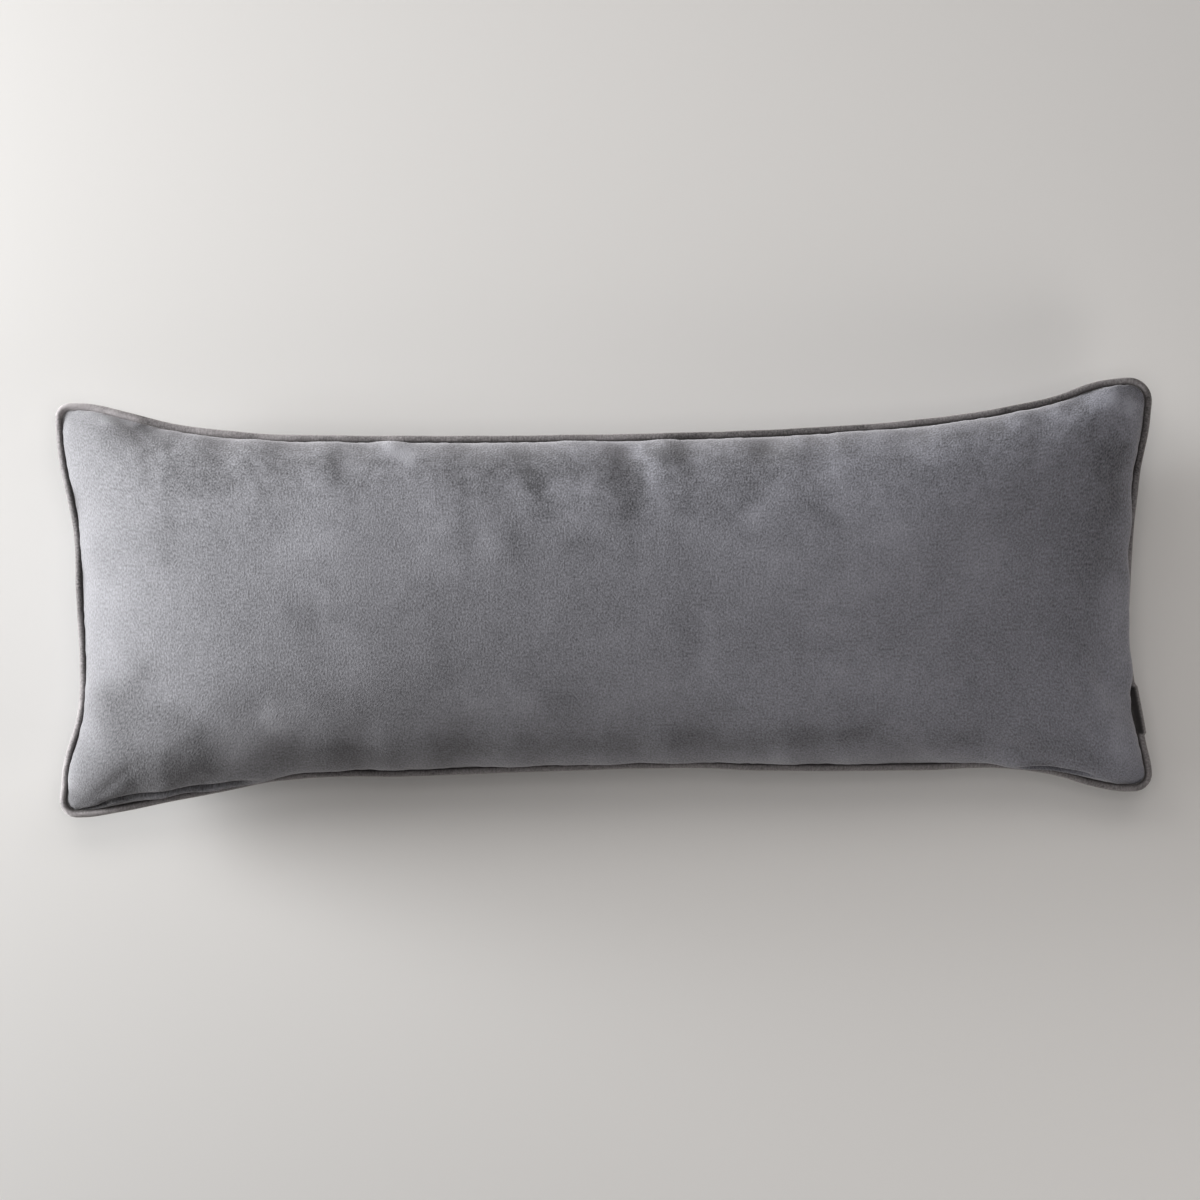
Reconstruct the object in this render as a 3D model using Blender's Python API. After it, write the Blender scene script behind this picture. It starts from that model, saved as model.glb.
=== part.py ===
"""Lumbar cushion with a piped seam, lying on its back.

Two soft panels are sewn together round a piped edge and filled.  Sizes and
tables are in millimetres.  The model is in metres: +X runs along the cushion,
+Y across it and +Z up, with the origin on the floor below its middle.
"""

import math
from collections import namedtuple

import bmesh
import bpy
import numpy as np

MM = 0.001
COLLECTION_NAME = "lumbar_cushion"

# Seam, from corner to corner
SEAM_LENGTH = 895.0
SEAM_WIDTH = 331.0
SEAM_SKEW = 3.2
CORNER_RADII = {
    ("left", "bottom"): 5.5,
    ("right", "bottom"): 5.5,
    ("right", "top"): 9.0,
    ("left", "top"): 3.5,
}

# Filled body
CROWN_RISE = 74.0
BELLY_DROP = 84.0
LENGTH_POWER = 4.4
WIDTH_POWER = 2.55
EAR_PINCH = 0.35
EAR_POWER = 6
BULGE_PEAK = 0.21
BULGE_ONSET = 3
BULGE_SIDE_POWER = 8

# Rows of the mesh, counted along the cloth from the seam
FIRST_ROW = 3.0
ROW_LENGTHWISE = 14.5
ROW_CROSSWISE = 20.0
ROW_RAMP = 45.0
ROW_SAMPLES = 1200
ROW_SAMPLE_POWER = 3
WELD_DISTANCE = 0.01

# Piping
PIPING_RADIUS = 3.2
PIPING_GAP = 0.5
PIPING_STEP = 14.5
PIPING_TURN = math.radians(20)
PIPING_BEVEL_STEPS = 2
LAP_RADIUS = 3.65
LAP_FROM = -0.755
LAP_TO = -0.508
LAP_RAMP = 1.0
LAP_RADIUS_STEP = 0.2
RING_SAMPLES = 1200

# Soft puckers that the sewing draws into both panels
PUCKER_DEPTH = 2.6
PUCKER_REACH = 100.0
PUCKER_START = 10.0
PUCKER_DRIFT = 0.8
PUCKER_DRIFT_STRETCH = 3.7
Wave = namedtuple("Wave", "length phase share")
PUCKER_WAVES = (
    Wave(length=47.0, phase=0.4, share=0.30),
    Wave(length=71.0, phase=2.1, share=0.45),
    Wave(length=118.0, phase=4.4, share=0.25),
)

# One row for each place along a seam side: how far the side is drawn in,
# how high the seam lies and how far the filled body swells past it
Place = namedtuple("Place", "along bow height bulge")
SIDES = {
    "top": (
        Place(-1.00, 0.0, 52.0, 0.0),
        Place(-0.95, 1.0, 53.0, 0.4),
        Place(-0.885, 8.5, 56.0, 0.8),
        Place(-0.80, 19.0, 60.0, 1.0),
        Place(-0.73, 24.6, 64.0, 1.4),
        Place(-0.64, 29.6, 67.0, 1.5),
        Place(-0.475, 33.4, 71.0, 1.5),
        Place(-0.31, 35.7, 73.0, 1.8),
        Place(0.00, 38.0, 75.0, 1.5),
        Place(0.34, 37.1, 74.0, 1.5),
        Place(0.51, 34.1, 72.0, 1.5),
        Place(0.62, 30.2, 70.0, 1.5),
        Place(0.73, 23.9, 67.0, 1.2),
        Place(0.84, 13.9, 63.0, 1.0),
        Place(0.91, 3.8, 60.0, 0.6),
        Place(1.00, 0.0, 58.0, 0.0),
    ),
    "bottom": (
        Place(-1.00, 0.0, 46.0, 0.0),
        Place(-0.95, 0.2, 47.0, 1.0),
        Place(-0.90, 3.8, 48.0, 3.5),
        Place(-0.81, 10.9, 51.0, 6.5),
        Place(-0.70, 19.3, 55.0, 6.0),
        Place(-0.647, 24.0, 57.0, 5.5),
        Place(-0.54, 28.6, 60.0, 3.0),
        Place(-0.37, 27.9, 62.0, 2.5),
        Place(-0.21, 28.8, 63.0, 2.5),
        Place(0.065, 29.7, 64.0, 4.5),
        Place(0.17, 29.1, 63.0, 4.0),
        Place(0.28, 25.8, 63.0, 2.5),
        Place(0.45, 23.5, 61.0, 2.0),
        Place(0.61, 22.4, 58.0, 2.0),
        Place(0.72, 22.8, 55.0, 4.0),
        Place(0.83, 15.4, 52.0, 7.0),
        Place(0.90, 5.5, 50.0, 4.0),
        Place(0.95, 0.4, 48.0, 1.0),
        Place(1.00, 0.0, 48.0, 0.0),
    ),
    "left": (
        Place(-1.00, 0.0, 46.0, 0.0),
        Place(-0.90, 2.5, 48.0, 1.5),
        Place(-0.82, 3.8, 50.0, 2.5),
        Place(-0.73, 7.2, 52.0, 3.0),
        Place(-0.63, 12.8, 54.0, 3.5),
        Place(-0.53, 17.4, 56.0, 4.5),
        Place(-0.40, 20.2, 57.0, 4.0),
        Place(-0.25, 20.2, 57.0, 3.5),
        Place(0.00, 18.6, 58.0, 3.0),
        Place(0.20, 17.3, 58.0, 2.5),
        Place(0.35, 16.6, 58.0, 2.5),
        Place(0.45, 14.4, 57.0, 2.5),
        Place(0.56, 10.6, 56.0, 2.0),
        Place(0.70, 5.2, 54.0, 1.5),
        Place(0.83, 1.6, 53.0, 1.0),
        Place(1.00, 0.0, 52.0, 0.0),
    ),
    "right": (
        Place(-1.00, 0.0, 48.0, 0.0),
        Place(-0.90, 1.6, 48.0, 1.0),
        Place(-0.80, 5.4, 48.0, 1.5),
        Place(-0.70, 8.2, 48.0, 2.0),
        Place(-0.57, 11.8, 47.0, 3.0),
        Place(-0.45, 15.4, 46.0, 7.0),
        Place(-0.30, 18.4, 46.0, 9.0),
        Place(-0.15, 18.9, 47.0, 9.0),
        Place(0.00, 17.8, 49.0, 7.5),
        Place(0.15, 16.8, 52.0, 5.5),
        Place(0.30, 15.6, 55.0, 4.5),
        Place(0.45, 13.2, 57.0, 3.0),
        Place(0.57, 10.6, 58.0, 2.5),
        Place(0.66, 7.4, 58.0, 2.0),
        Place(0.76, 4.0, 58.0, 1.0),
        Place(0.88, 1.5, 58.0, 0.5),
        Place(1.00, 0.0, 58.0, 0.0),
    ),
}

# Main folds of the upper panel, each running in from one side of the seam.
# A negative depth is a soft ridge.
Fold = namedtuple("Fold", "side along depth width reach lean")
FOLDS = (
    Fold("top", -0.85, 6.0, 15.0, 75.0, 0.40),
    Fold("top", -0.79, 3.5, 14.0, 120.0, 0.10),
    Fold("top", -0.66, 3.0, 15.0, 80.0, 0.00),
    Fold("top", -0.37, -3.0, 17.0, 60.0, 0.00),
    Fold("top", -0.31, 3.5, 16.0, 75.0, 0.10),
    Fold("top", -0.15, 3.0, 20.0, 135.0, -0.05),
    Fold("top", -0.06, -2.0, 22.0, 85.0, 0.00),
    Fold("top", 0.03, 4.2, 17.0, 140.0, 0.15),
    Fold("top", 0.14, 3.0, 16.0, 70.0, 0.00),
    Fold("top", 0.30, 4.0, 17.0, 80.0, -0.10),
    Fold("top", 0.55, 3.0, 20.0, 85.0, -0.20),
    Fold("top", 0.85, 4.0, 17.0, 70.0, -0.45),
    Fold("bottom", -0.74, 5.0, 19.0, 70.0, 0.25),
    Fold("bottom", -0.30, 2.5, 18.0, 60.0, 0.00),
    Fold("bottom", 0.10, 3.0, 16.0, 50.0, 0.00),
    Fold("bottom", 0.80, 4.5, 18.0, 65.0, -0.30),
    Fold("left", 0.45, 3.0, 17.0, 70.0, -0.20),
    Fold("left", -0.45, 3.0, 17.0, 70.0, 0.20),
    Fold("right", 0.45, 2.5, 17.0, 60.0, -0.20),
    Fold("right", -0.52, 4.5, 15.0, 65.0, 0.10),
)

Finish = namedtuple("Finish", "name color roughness")
SUEDE = Finish("grey_suede", (0.155, 0.152, 0.166, 1.0), 0.92)
PIPING_SUEDE = Finish("piping_suede", (0.118, 0.112, 0.110, 1.0), 0.90)


def column(side, name):
    """One named column of a side's table as an array."""
    return np.array([getattr(place, name) for place in SIDES[side]])


def smooth_value(side, name, along):
    """A side's column at places from -1 to 1, by a smooth curve through its rows."""
    knots = column(side, "along")
    values = column(side, name)
    slopes = np.gradient(values, knots)
    cell = np.clip(np.searchsorted(knots, along) - 1, 0, len(knots) - 2)
    span = knots[cell + 1] - knots[cell]
    part = (along - knots[cell]) / span
    rise = values[cell + 1] - values[cell]
    start = slopes[cell] * span
    end = slopes[cell + 1] * span
    bend = part * part * (3 - 2 * part)
    lead = part * (1 - part) ** 2
    trail = part * part * (1 - part)
    return values[cell] + rise * bend + start * lead - end * trail


def side_points(side, along):
    """Seam points of one side, for places from -1 to 1."""
    bow = smooth_value(side, "bow", along)
    height = smooth_value(side, "height", along)
    half_length = SEAM_LENGTH / 2
    half_width = SEAM_WIDTH / 2
    if side in ("top", "bottom"):
        outward = 1 if side == "top" else -1
        x = half_length * along + SEAM_SKEW * outward
        y = outward * (half_width - bow)
    else:
        outward = 1 if side == "right" else -1
        x = outward * (half_length - bow) + SEAM_SKEW * along
        y = half_width * along
    return np.stack([x, y, height], axis=-1)


def round_corners(s, t):
    """Draw the corners of the unit square in so that the seam turns on an arc."""
    x = s * SEAM_LENGTH / 2
    y = t * SEAM_WIDTH / 2
    for (end, edge), radius in CORNER_RADII.items():
        turn_x = 1 if end == "right" else -1
        turn_y = 1 if edge == "top" else -1
        centre_x = SEAM_LENGTH / 2 - radius
        centre_y = SEAM_WIDTH / 2 - radius
        out_x = np.clip((x * turn_x - centre_x) / radius, 0, 1)
        out_y = np.clip((y * turn_y - centre_y) / radius, 0, 1)
        x = x - turn_x * radius * out_x * (1 - np.sqrt(1 - out_y**2 / 2))
        y = y - turn_y * radius * out_y * (1 - np.sqrt(1 - out_x**2 / 2))
    return x * 2 / SEAM_LENGTH, y * 2 / SEAM_WIDTH


def seam_surface(s, t):
    """The surface spanned by the four seam sides, at s along and t across."""
    s, t = round_corners(s, t)
    right = ((1 + s) / 2)[..., None]
    top = ((1 + t) / 2)[..., None]
    across = side_points("bottom", s) * (1 - top) + side_points("top", s) * top
    along = side_points("left", t) * (1 - right) + side_points("right", t) * right
    ends = np.array([-1.0, 1.0])
    low = side_points("bottom", ends)
    high = side_points("top", ends)
    corners = (low[0] * (1 - right) + low[1] * right) * (1 - top)
    corners = corners + (high[0] * (1 - right) + high[1] * right) * top
    return across + along - corners


def row_distances(total, regular):
    """Distances from the seam: close rows beside it, even rows further in."""
    rows = [0.0]
    while rows[-1] < total:
        growth = 1 - math.exp(-rows[-1] / ROW_RAMP)
        rows.append(rows[-1] + FIRST_ROW + (regular - FIRST_ROW) * growth)
    return np.array(rows) * total / rows[-1]


def cloth_rows(half, power, regular):
    """Rows across half a panel, from the seam to the middle.

    Returns the place from 1 to 0, the share of the crown and the distance
    along the cloth from the seam.
    """
    angle = math.pi / 2 * np.linspace(0, 1, ROW_SAMPLES) ** ROW_SAMPLE_POWER
    place = np.sin(angle) ** (2 / power)
    crown = np.cos(angle)
    steps = np.hypot(np.diff(place * half), np.diff(crown * CROWN_RISE))
    travelled = np.concatenate([[0.0], np.cumsum(steps)])
    distance = row_distances(travelled[-1], regular)
    at = np.interp(travelled[-1] - distance, travelled, angle)
    return np.sin(at) ** (2 / power), np.cos(at), distance


def both_halves(half_rows):
    """Rows of a whole panel from -1 to 1, from the rows of its half."""
    place, crown, distance = half_rows
    inner = slice(-2, None, -1)
    places = np.concatenate([-place, place[inner]])
    crowns = np.concatenate([crown, crown[inner]])
    far = 2 * distance[-1]
    low = np.concatenate([distance, far - distance[inner]])
    return places, crowns, low, far - low


def seam_fade(distance, reach):
    """One at the seam, falling smoothly to nothing at the reach."""
    left = np.clip(1 - distance / reach, 0, 1)
    return left * left * (3 - 2 * left)


def pucker_height(travel, distance):
    """Height of the puckers beside a seam, at a travel along it."""
    height = np.zeros_like(travel)
    for wave in PUCKER_WAVES:
        turn = 2 * math.pi * travel / wave.length + wave.phase
        drift = PUCKER_DRIFT * np.sin(turn / PUCKER_DRIFT_STRETCH)
        height = height + wave.share * np.sin(turn + drift)
    return PUCKER_DEPTH * height * seam_fade(distance, PUCKER_REACH)


def fold_height(fold, travel, half, distance):
    """Height of one fold, a trough that runs in from its side of the seam."""
    middle = fold.along * half + fold.lean * distance
    trough = np.exp(-(((travel - middle) / fold.width) ** 2))
    return -fold.depth * trough * seam_fade(distance, fold.reach)


def surface_normals(points):
    """Unit normals of a grid of points, towards +Z for an upper panel."""
    normal = np.cross(np.gradient(points, axis=1), np.gradient(points, axis=0))
    return normal / np.linalg.norm(normal, axis=-1, keepdims=True)


def panel_points(upper):
    """Grid of points of one filled panel, rows across and columns along."""
    length = both_halves(cloth_rows(SEAM_LENGTH / 2, LENGTH_POWER, ROW_LENGTHWISE))
    width = both_halves(cloth_rows(SEAM_WIDTH / 2, WIDTH_POWER, ROW_CROSSWISE))
    s, t = np.meshgrid(length[0], width[0])
    crown = np.outer(width[1], length[1])
    crown = crown * (1 - EAR_PINCH * np.abs(s * t) ** EAR_POWER)
    points = seam_surface(s, t)

    swell = crown / BULGE_PEAK
    swell = (swell * np.exp(1 - swell)) ** BULGE_ONSET
    side = np.where(t > 0, smooth_value("top", "bulge", s), smooth_value("bottom", "bulge", s))
    end = np.where(s > 0, smooth_value("right", "bulge", t), smooth_value("left", "bulge", t))
    points[..., 0] += swell * end * np.sign(s) * np.abs(s) ** BULGE_SIDE_POWER
    points[..., 1] += swell * side * np.sign(t) * np.abs(t) ** BULGE_SIDE_POWER
    points[..., 2] += crown * (CROWN_RISE if upper else -BELLY_DROP)

    from_left, from_bottom = np.meshgrid(length[2], width[2])
    from_right, from_top = np.meshgrid(length[3], width[3])
    half_length = length[2][-1] / 2
    half_width = width[2][-1] / 2
    travel_x = from_left - half_length
    travel_y = from_bottom - half_width
    sides = {
        "top": (travel_x, half_length, from_top),
        "bottom": (travel_x, half_length, from_bottom),
        "left": (travel_y, half_width, from_left),
        "right": (travel_y, half_width, from_right),
    }
    height = np.zeros_like(s)
    nearest = np.full_like(s, half_length)
    for travel, half, distance in sides.values():
        height = height + pucker_height(travel, distance)
        nearest = np.minimum(nearest, distance)
    if upper:
        for fold in FOLDS:
            height = height + fold_height(fold, *sides[fold.side])
    height = height * (1 - np.exp(-nearest / PUCKER_START)) ** 2
    normals = surface_normals(points)
    if not upper:
        normals = -normals
    points = points + normals * height[..., None]
    points[..., 2] = np.maximum(points[..., 2], 0.0)
    return points


def add_panel(mesh, points, upper):
    """Add one panel to the mesh, its corner cells split towards the middle."""
    rows, columns = points.shape[0] - 1, points.shape[1] - 1
    made = bmesh.ops.create_grid(mesh, x_segments=columns, y_segments=rows, size=1.0)
    grid = {}
    for vert in made["verts"]:
        column_index = round((vert.co.x + 1) / 2 * columns)
        row_index = round((vert.co.y + 1) / 2 * rows)
        vert.co = points[row_index, column_index] * MM
        grid[row_index, column_index] = vert
    if not upper:
        faces = {face for vert in made["verts"] for face in vert.link_faces}
        bmesh.ops.reverse_faces(mesh, faces=list(faces))
    for row, inner_row in ((0, 1), (rows, rows - 1)):
        for col, inner_col in ((0, 1), (columns, columns - 1)):
            pair = [grid[row, col], grid[inner_row, inner_col]]
            bmesh.ops.connect_verts(mesh, verts=pair)


def seam_ring():
    """Closely spaced seam points once round, with the places along their sides."""
    forward = np.linspace(-1, 1, RING_SAMPLES, endpoint=False)
    edge = np.ones_like(forward)
    s = np.concatenate([forward, edge, -forward, -edge])
    t = np.concatenate([-edge, forward, edge, -forward])
    return seam_surface(s, t), s, t


def piping_path():
    """Stations of the piping's middle line once round, with the radius at each.

    A station comes after a step of length, of turn or of radius.
    """
    points, s, t = seam_ring()
    forward = np.roll(points, -1, axis=0) - np.roll(points, 1, axis=0)
    forward = forward / np.linalg.norm(forward, axis=1, keepdims=True)
    outward = np.stack([forward[:, 1], -forward[:, 0], np.zeros(len(s))], axis=1)
    ramp = LAP_RAMP / (SEAM_WIDTH / 2)
    into = np.clip((t - LAP_FROM) / ramp, 0, 1)
    out_of = np.clip((LAP_TO - t) / ramp, 0, 1)
    lap = np.where(s == 1, into * out_of, 0)
    radius = PIPING_RADIUS + (LAP_RADIUS - PIPING_RADIUS) * lap
    middle = points + outward * (radius + PIPING_GAP)[:, None]

    steps = np.linalg.norm(np.diff(middle, axis=0), axis=1) / PIPING_STEP
    heading = np.unwrap(np.arctan2(forward[:, 1], forward[:, 0]))
    turns = np.abs(np.diff(heading)) / PIPING_TURN
    swells = np.abs(np.diff(radius)) / LAP_RADIUS_STEP
    measure = np.concatenate([[0.0], np.cumsum(steps + turns + swells)])
    count = math.ceil(measure[-1])
    wanted = np.arange(count) * measure[-1] / count
    path = [np.interp(wanted, measure, middle[:, axis]) for axis in range(3)]
    return np.stack(path, axis=1), np.interp(wanted, measure, radius)


def make_material(finish):
    """A plain material in the finish's colour and roughness."""
    material = bpy.data.materials.new(finish.name)
    material.use_nodes = True
    shader = material.node_tree.nodes["Principled BSDF"]
    shader.inputs["Base Color"].default_value = finish.color
    shader.inputs["Roughness"].default_value = finish.roughness
    shader.inputs["Metallic"].default_value = 0.0
    return material


def make_cushion(collection, shift):
    """The filled body: both panels closed along the seam."""
    mesh = bmesh.new()
    add_panel(mesh, panel_points(upper=True) + shift, upper=True)
    add_panel(mesh, panel_points(upper=False) + shift, upper=False)
    bmesh.ops.remove_doubles(mesh, verts=mesh.verts, dist=WELD_DISTANCE * MM)
    data = bpy.data.meshes.new("cushion")
    mesh.to_mesh(data)
    mesh.free()
    data.shade_smooth()
    data.materials.append(make_material(SUEDE))
    collection.objects.link(bpy.data.objects.new("cushion", data))


def make_piping(collection, path, radii):
    """The corded piping, one closed loop round the seam with its lapped join."""
    data = bpy.data.curves.new("piping", "CURVE")
    data.dimensions = "3D"
    data.bevel_depth = PIPING_RADIUS * MM
    data.bevel_resolution = PIPING_BEVEL_STEPS
    data.use_fill_caps = True
    spline = data.splines.new("POLY")
    spline.points.add(len(path) - 1)
    for point, place, radius in zip(spline.points, path * MM, radii):
        point.co = (*place, 1.0)
        point.radius = radius / PIPING_RADIUS
    spline.use_cyclic_u = True
    spline.use_smooth = True
    data.materials.append(make_material(PIPING_SUEDE))
    collection.objects.link(bpy.data.objects.new("piping", data))


def clear_scene():
    """Remove whatever the file holds."""
    for old in list(bpy.data.objects):
        bpy.data.objects.remove(old, do_unlink=True)


def main():
    """Build the cushion and its piping, centred over the origin."""
    clear_scene()
    collection = bpy.data.collections.new(COLLECTION_NAME)
    bpy.context.scene.collection.children.link(collection)
    path, radii = piping_path()
    middle = (path.max(axis=0) + path.min(axis=0)) / 2
    shift = np.array([-middle[0], -middle[1], 0.0])
    make_cushion(collection, shift)
    make_piping(collection, path + shift, radii)


main()
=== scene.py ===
"""Piped suede lumbar cushion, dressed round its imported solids.

Tables and sizes are in millimetres, meshes in metres.  The frame is that of
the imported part: +X runs along the cushion, +Y across it and +Z up, with the
origin on the floor below its middle.
"""

from __future__ import annotations

import logging
import math
from dataclasses import dataclass
from enum import Enum
from typing import Any, Mapping, Sequence, Union

import bpy
import numpy as np
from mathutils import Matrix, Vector

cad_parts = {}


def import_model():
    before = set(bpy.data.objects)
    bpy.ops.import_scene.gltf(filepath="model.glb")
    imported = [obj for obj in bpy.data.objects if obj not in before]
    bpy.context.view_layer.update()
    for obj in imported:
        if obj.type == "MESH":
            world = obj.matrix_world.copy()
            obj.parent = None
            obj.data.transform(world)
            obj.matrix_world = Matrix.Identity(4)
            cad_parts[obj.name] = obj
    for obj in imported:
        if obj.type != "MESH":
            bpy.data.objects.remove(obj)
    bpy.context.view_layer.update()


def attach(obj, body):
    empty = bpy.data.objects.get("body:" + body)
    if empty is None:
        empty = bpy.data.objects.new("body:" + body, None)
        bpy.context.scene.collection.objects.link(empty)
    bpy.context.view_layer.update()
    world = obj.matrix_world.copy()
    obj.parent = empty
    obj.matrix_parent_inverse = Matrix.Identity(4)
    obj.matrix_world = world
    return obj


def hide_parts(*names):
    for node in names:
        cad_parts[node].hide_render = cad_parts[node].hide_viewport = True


MM = 0.001
BODY = "root"
TINY_LENGTH = 1e-6

Triple = tuple[float, float, float]

log = logging.getLogger("lumbar_cushion")


class Side(Enum):
    """The four sides of the seam."""

    TOP = "top"
    BOTTOM = "bottom"
    LEFT = "left"
    RIGHT = "right"


class Panel(Enum):
    """The two suede panels."""

    UPPER = "upper"
    LOWER = "lower"


@dataclass(frozen=True)
class Place:
    """A place along one side of the seam.

    along runs from -1 to 1, bow is how far the side is drawn in, height is
    the seam's height and bulge is how far the filled body swells past it.
    """

    along: float
    bow: float
    height: float
    bulge: float


@dataclass(frozen=True)
class Fold:
    """A main fold of the upper panel, running in from one side of the seam.

    A negative depth is a soft ridge.
    """

    side: Side
    along: float
    depth: float
    width: float
    reach: float
    lean: float


@dataclass(frozen=True)
class Wave:
    """One wave of a row of puckers: its length, phase and share of the depth."""

    length: float
    phase: float
    share: float


@dataclass(frozen=True)
class Patch:
    """One size of the nap's patches: their share of the shade, length and width."""

    share: float
    length: float
    width: float


@dataclass(frozen=True)
class Spacing:
    """Distances between the rows of a panel's grid.

    first is the distance from the seam to the row beside it, along and across
    are the distances in the middle, and ramp is how far in the spacing grows.
    """

    first: float
    along: float
    across: float
    ramp: float


@dataclass(frozen=True)
class Crease:
    """A sharp crease of the upper panel, along a side of the seam.

    start and end are places along the side, rise and fall the distances from
    the seam at which it starts and ends.  shade is the strength of the painted
    shade along its line.
    """

    side: Side
    start: float
    end: float
    rise: float
    fall: float
    depth: float
    width: float
    shade: float


@dataclass(frozen=True)
class Stroke:
    """A mark painted into the nap's colour, from one point to another as seen
    from above.  Some are brushed nap; others are painted shade or painted light
    of folds, rims, shadowed strips and the piping.

    shade is how much darker (below zero) or lighter (above zero) it lies, as
    a share of the nap's own brightness.
    """

    x0: float
    y0: float
    x1: float
    y1: float
    width: float
    shade: float


SIDES: dict[Side, tuple[Place, ...]] = {
    Side.TOP: (
        Place(-1.00, 0.0, 52.0, 0.0),
        Place(-0.95, 1.0, 53.0, 0.4),
        Place(-0.885, 8.5, 56.0, 0.8),
        Place(-0.80, 19.0, 60.0, 1.0),
        Place(-0.73, 24.6, 64.0, 1.4),
        Place(-0.64, 29.6, 67.0, 1.5),
        Place(-0.475, 33.4, 71.0, 1.5),
        Place(-0.31, 35.7, 73.0, 1.8),
        Place(0.00, 38.0, 75.0, 1.5),
        Place(0.34, 37.1, 74.0, 1.5),
        Place(0.51, 34.1, 72.0, 1.5),
        Place(0.62, 30.2, 70.0, 1.5),
        Place(0.73, 23.9, 67.0, 1.2),
        Place(0.84, 13.9, 63.0, 1.0),
        Place(0.91, 3.8, 60.0, 0.6),
        Place(1.00, 0.0, 58.0, 0.0),
    ),
    Side.BOTTOM: (
        Place(-1.00, 0.0, 46.0, 0.0),
        Place(-0.95, 0.2, 47.0, 1.0),
        Place(-0.90, 3.8, 48.0, 3.5),
        Place(-0.81, 10.9, 51.0, 7.5),
        Place(-0.70, 19.3, 55.0, 8.5),
        Place(-0.647, 24.0, 57.0, 7.5),
        Place(-0.54, 28.6, 60.0, 4.0),
        Place(-0.37, 27.9, 62.0, 2.5),
        Place(-0.21, 28.8, 63.0, 2.5),
        Place(0.065, 29.7, 64.0, 4.5),
        Place(0.17, 29.1, 63.0, 4.0),
        Place(0.28, 25.8, 63.0, 2.5),
        Place(0.45, 23.5, 61.0, 2.0),
        Place(0.61, 22.4, 58.0, 2.0),
        Place(0.72, 22.8, 55.0, 7.5),
        Place(0.78, 19.6, 53.5, 10.0),
        Place(0.83, 15.4, 52.0, 10.0),
        Place(0.90, 5.5, 50.0, 5.0),
        Place(0.95, 0.4, 48.0, 1.0),
        Place(1.00, 0.0, 48.0, 0.0),
    ),
    Side.LEFT: (
        Place(-1.00, 0.0, 46.0, 0.0),
        Place(-0.90, 2.5, 48.0, 1.5),
        Place(-0.82, 3.8, 50.0, 2.5),
        Place(-0.73, 7.2, 52.0, 3.0),
        Place(-0.63, 12.8, 54.0, 3.5),
        Place(-0.53, 17.4, 56.0, 3.0),
        Place(-0.40, 20.2, 57.0, 1.8),
        Place(-0.25, 20.2, 57.0, 1.2),
        Place(0.00, 18.6, 58.0, 0.3),
        Place(0.20, 17.3, 58.0, 0.3),
        Place(0.35, 16.6, 58.0, 1.0),
        Place(0.45, 14.4, 57.0, 2.0),
        Place(0.56, 10.6, 56.0, 2.0),
        Place(0.70, 5.2, 54.0, 2.5),
        Place(0.83, 1.6, 53.0, 2.5),
        Place(1.00, 0.0, 52.0, 0.0),
    ),
    Side.RIGHT: (
        Place(-1.00, 0.0, 48.0, 0.0),
        Place(-0.90, 1.6, 48.0, 1.0),
        Place(-0.80, 5.4, 48.0, 1.5),
        Place(-0.70, 8.2, 48.0, 1.5),
        Place(-0.57, 11.8, 47.0, 2.0),
        Place(-0.45, 15.4, 46.0, 7.0),
        Place(-0.30, 18.4, 46.0, 9.0),
        Place(-0.15, 18.9, 47.0, 9.0),
        Place(0.00, 17.8, 49.0, 7.5),
        Place(0.15, 16.8, 52.0, 5.5),
        Place(0.30, 15.6, 55.0, 4.5),
        Place(0.45, 13.2, 57.0, 3.0),
        Place(0.57, 10.6, 58.0, 2.5),
        Place(0.66, 7.4, 58.0, 2.0),
        Place(0.76, 4.0, 58.0, 1.0),
        Place(0.88, 1.5, 58.0, 0.5),
        Place(1.00, 0.0, 58.0, 0.0),
    ),
}

FOLDS: tuple[Fold, ...] = (
    Fold(Side.TOP, -0.85, 3.0, 15.0, 60.0, 0.60),
    Fold(Side.TOP, -0.79, 3.5, 14.0, 120.0, 0.10),
    Fold(Side.TOP, -0.66, 3.0, 15.0, 80.0, 0.00),
    Fold(Side.TOP, -0.37, -3.0, 17.0, 60.0, 0.00),
    Fold(Side.TOP, -0.31, 3.5, 16.0, 75.0, 0.10),
    Fold(Side.TOP, -0.15, 3.0, 20.0, 135.0, -0.05),
    Fold(Side.TOP, -0.06, -2.0, 22.0, 85.0, 0.00),
    Fold(Side.TOP, 0.03, 4.2, 17.0, 140.0, 0.15),
    Fold(Side.TOP, 0.14, 3.0, 16.0, 70.0, 0.00),
    Fold(Side.TOP, 0.30, 4.0, 17.0, 80.0, -0.10),
    Fold(Side.TOP, 0.55, 3.0, 20.0, 85.0, -0.20),
    Fold(Side.TOP, 0.85, 3.0, 17.0, 70.0, -0.45),
    Fold(Side.BOTTOM, -0.74, 5.0, 19.0, 70.0, 0.25),
    Fold(Side.BOTTOM, -0.30, 2.5, 18.0, 60.0, 0.00),
    Fold(Side.BOTTOM, 0.10, 3.0, 16.0, 50.0, 0.00),
    Fold(Side.BOTTOM, 0.80, 3.5, 18.0, 65.0, -0.30),
    Fold(Side.LEFT, 0.45, 3.0, 17.0, 70.0, -0.20),
    Fold(Side.LEFT, -0.45, 3.0, 17.0, 70.0, 0.20),
    Fold(Side.RIGHT, 0.45, 2.5, 17.0, 60.0, -0.20),
    Fold(Side.RIGHT, -0.52, 4.5, 15.0, 65.0, 0.10),
)

PUCKERS: tuple[Wave, ...] = (
    Wave(47.0, 0.4, 0.30),
    Wave(71.0, 2.1, 0.45),
    Wave(118.0, 4.4, 0.25),
)

SCALLOPS: tuple[Wave, ...] = (
    Wave(11.0, 1.3, 0.35),
    Wave(17.0, 0.2, 0.40),
    Wave(29.0, 3.0, 0.25),
)

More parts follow.
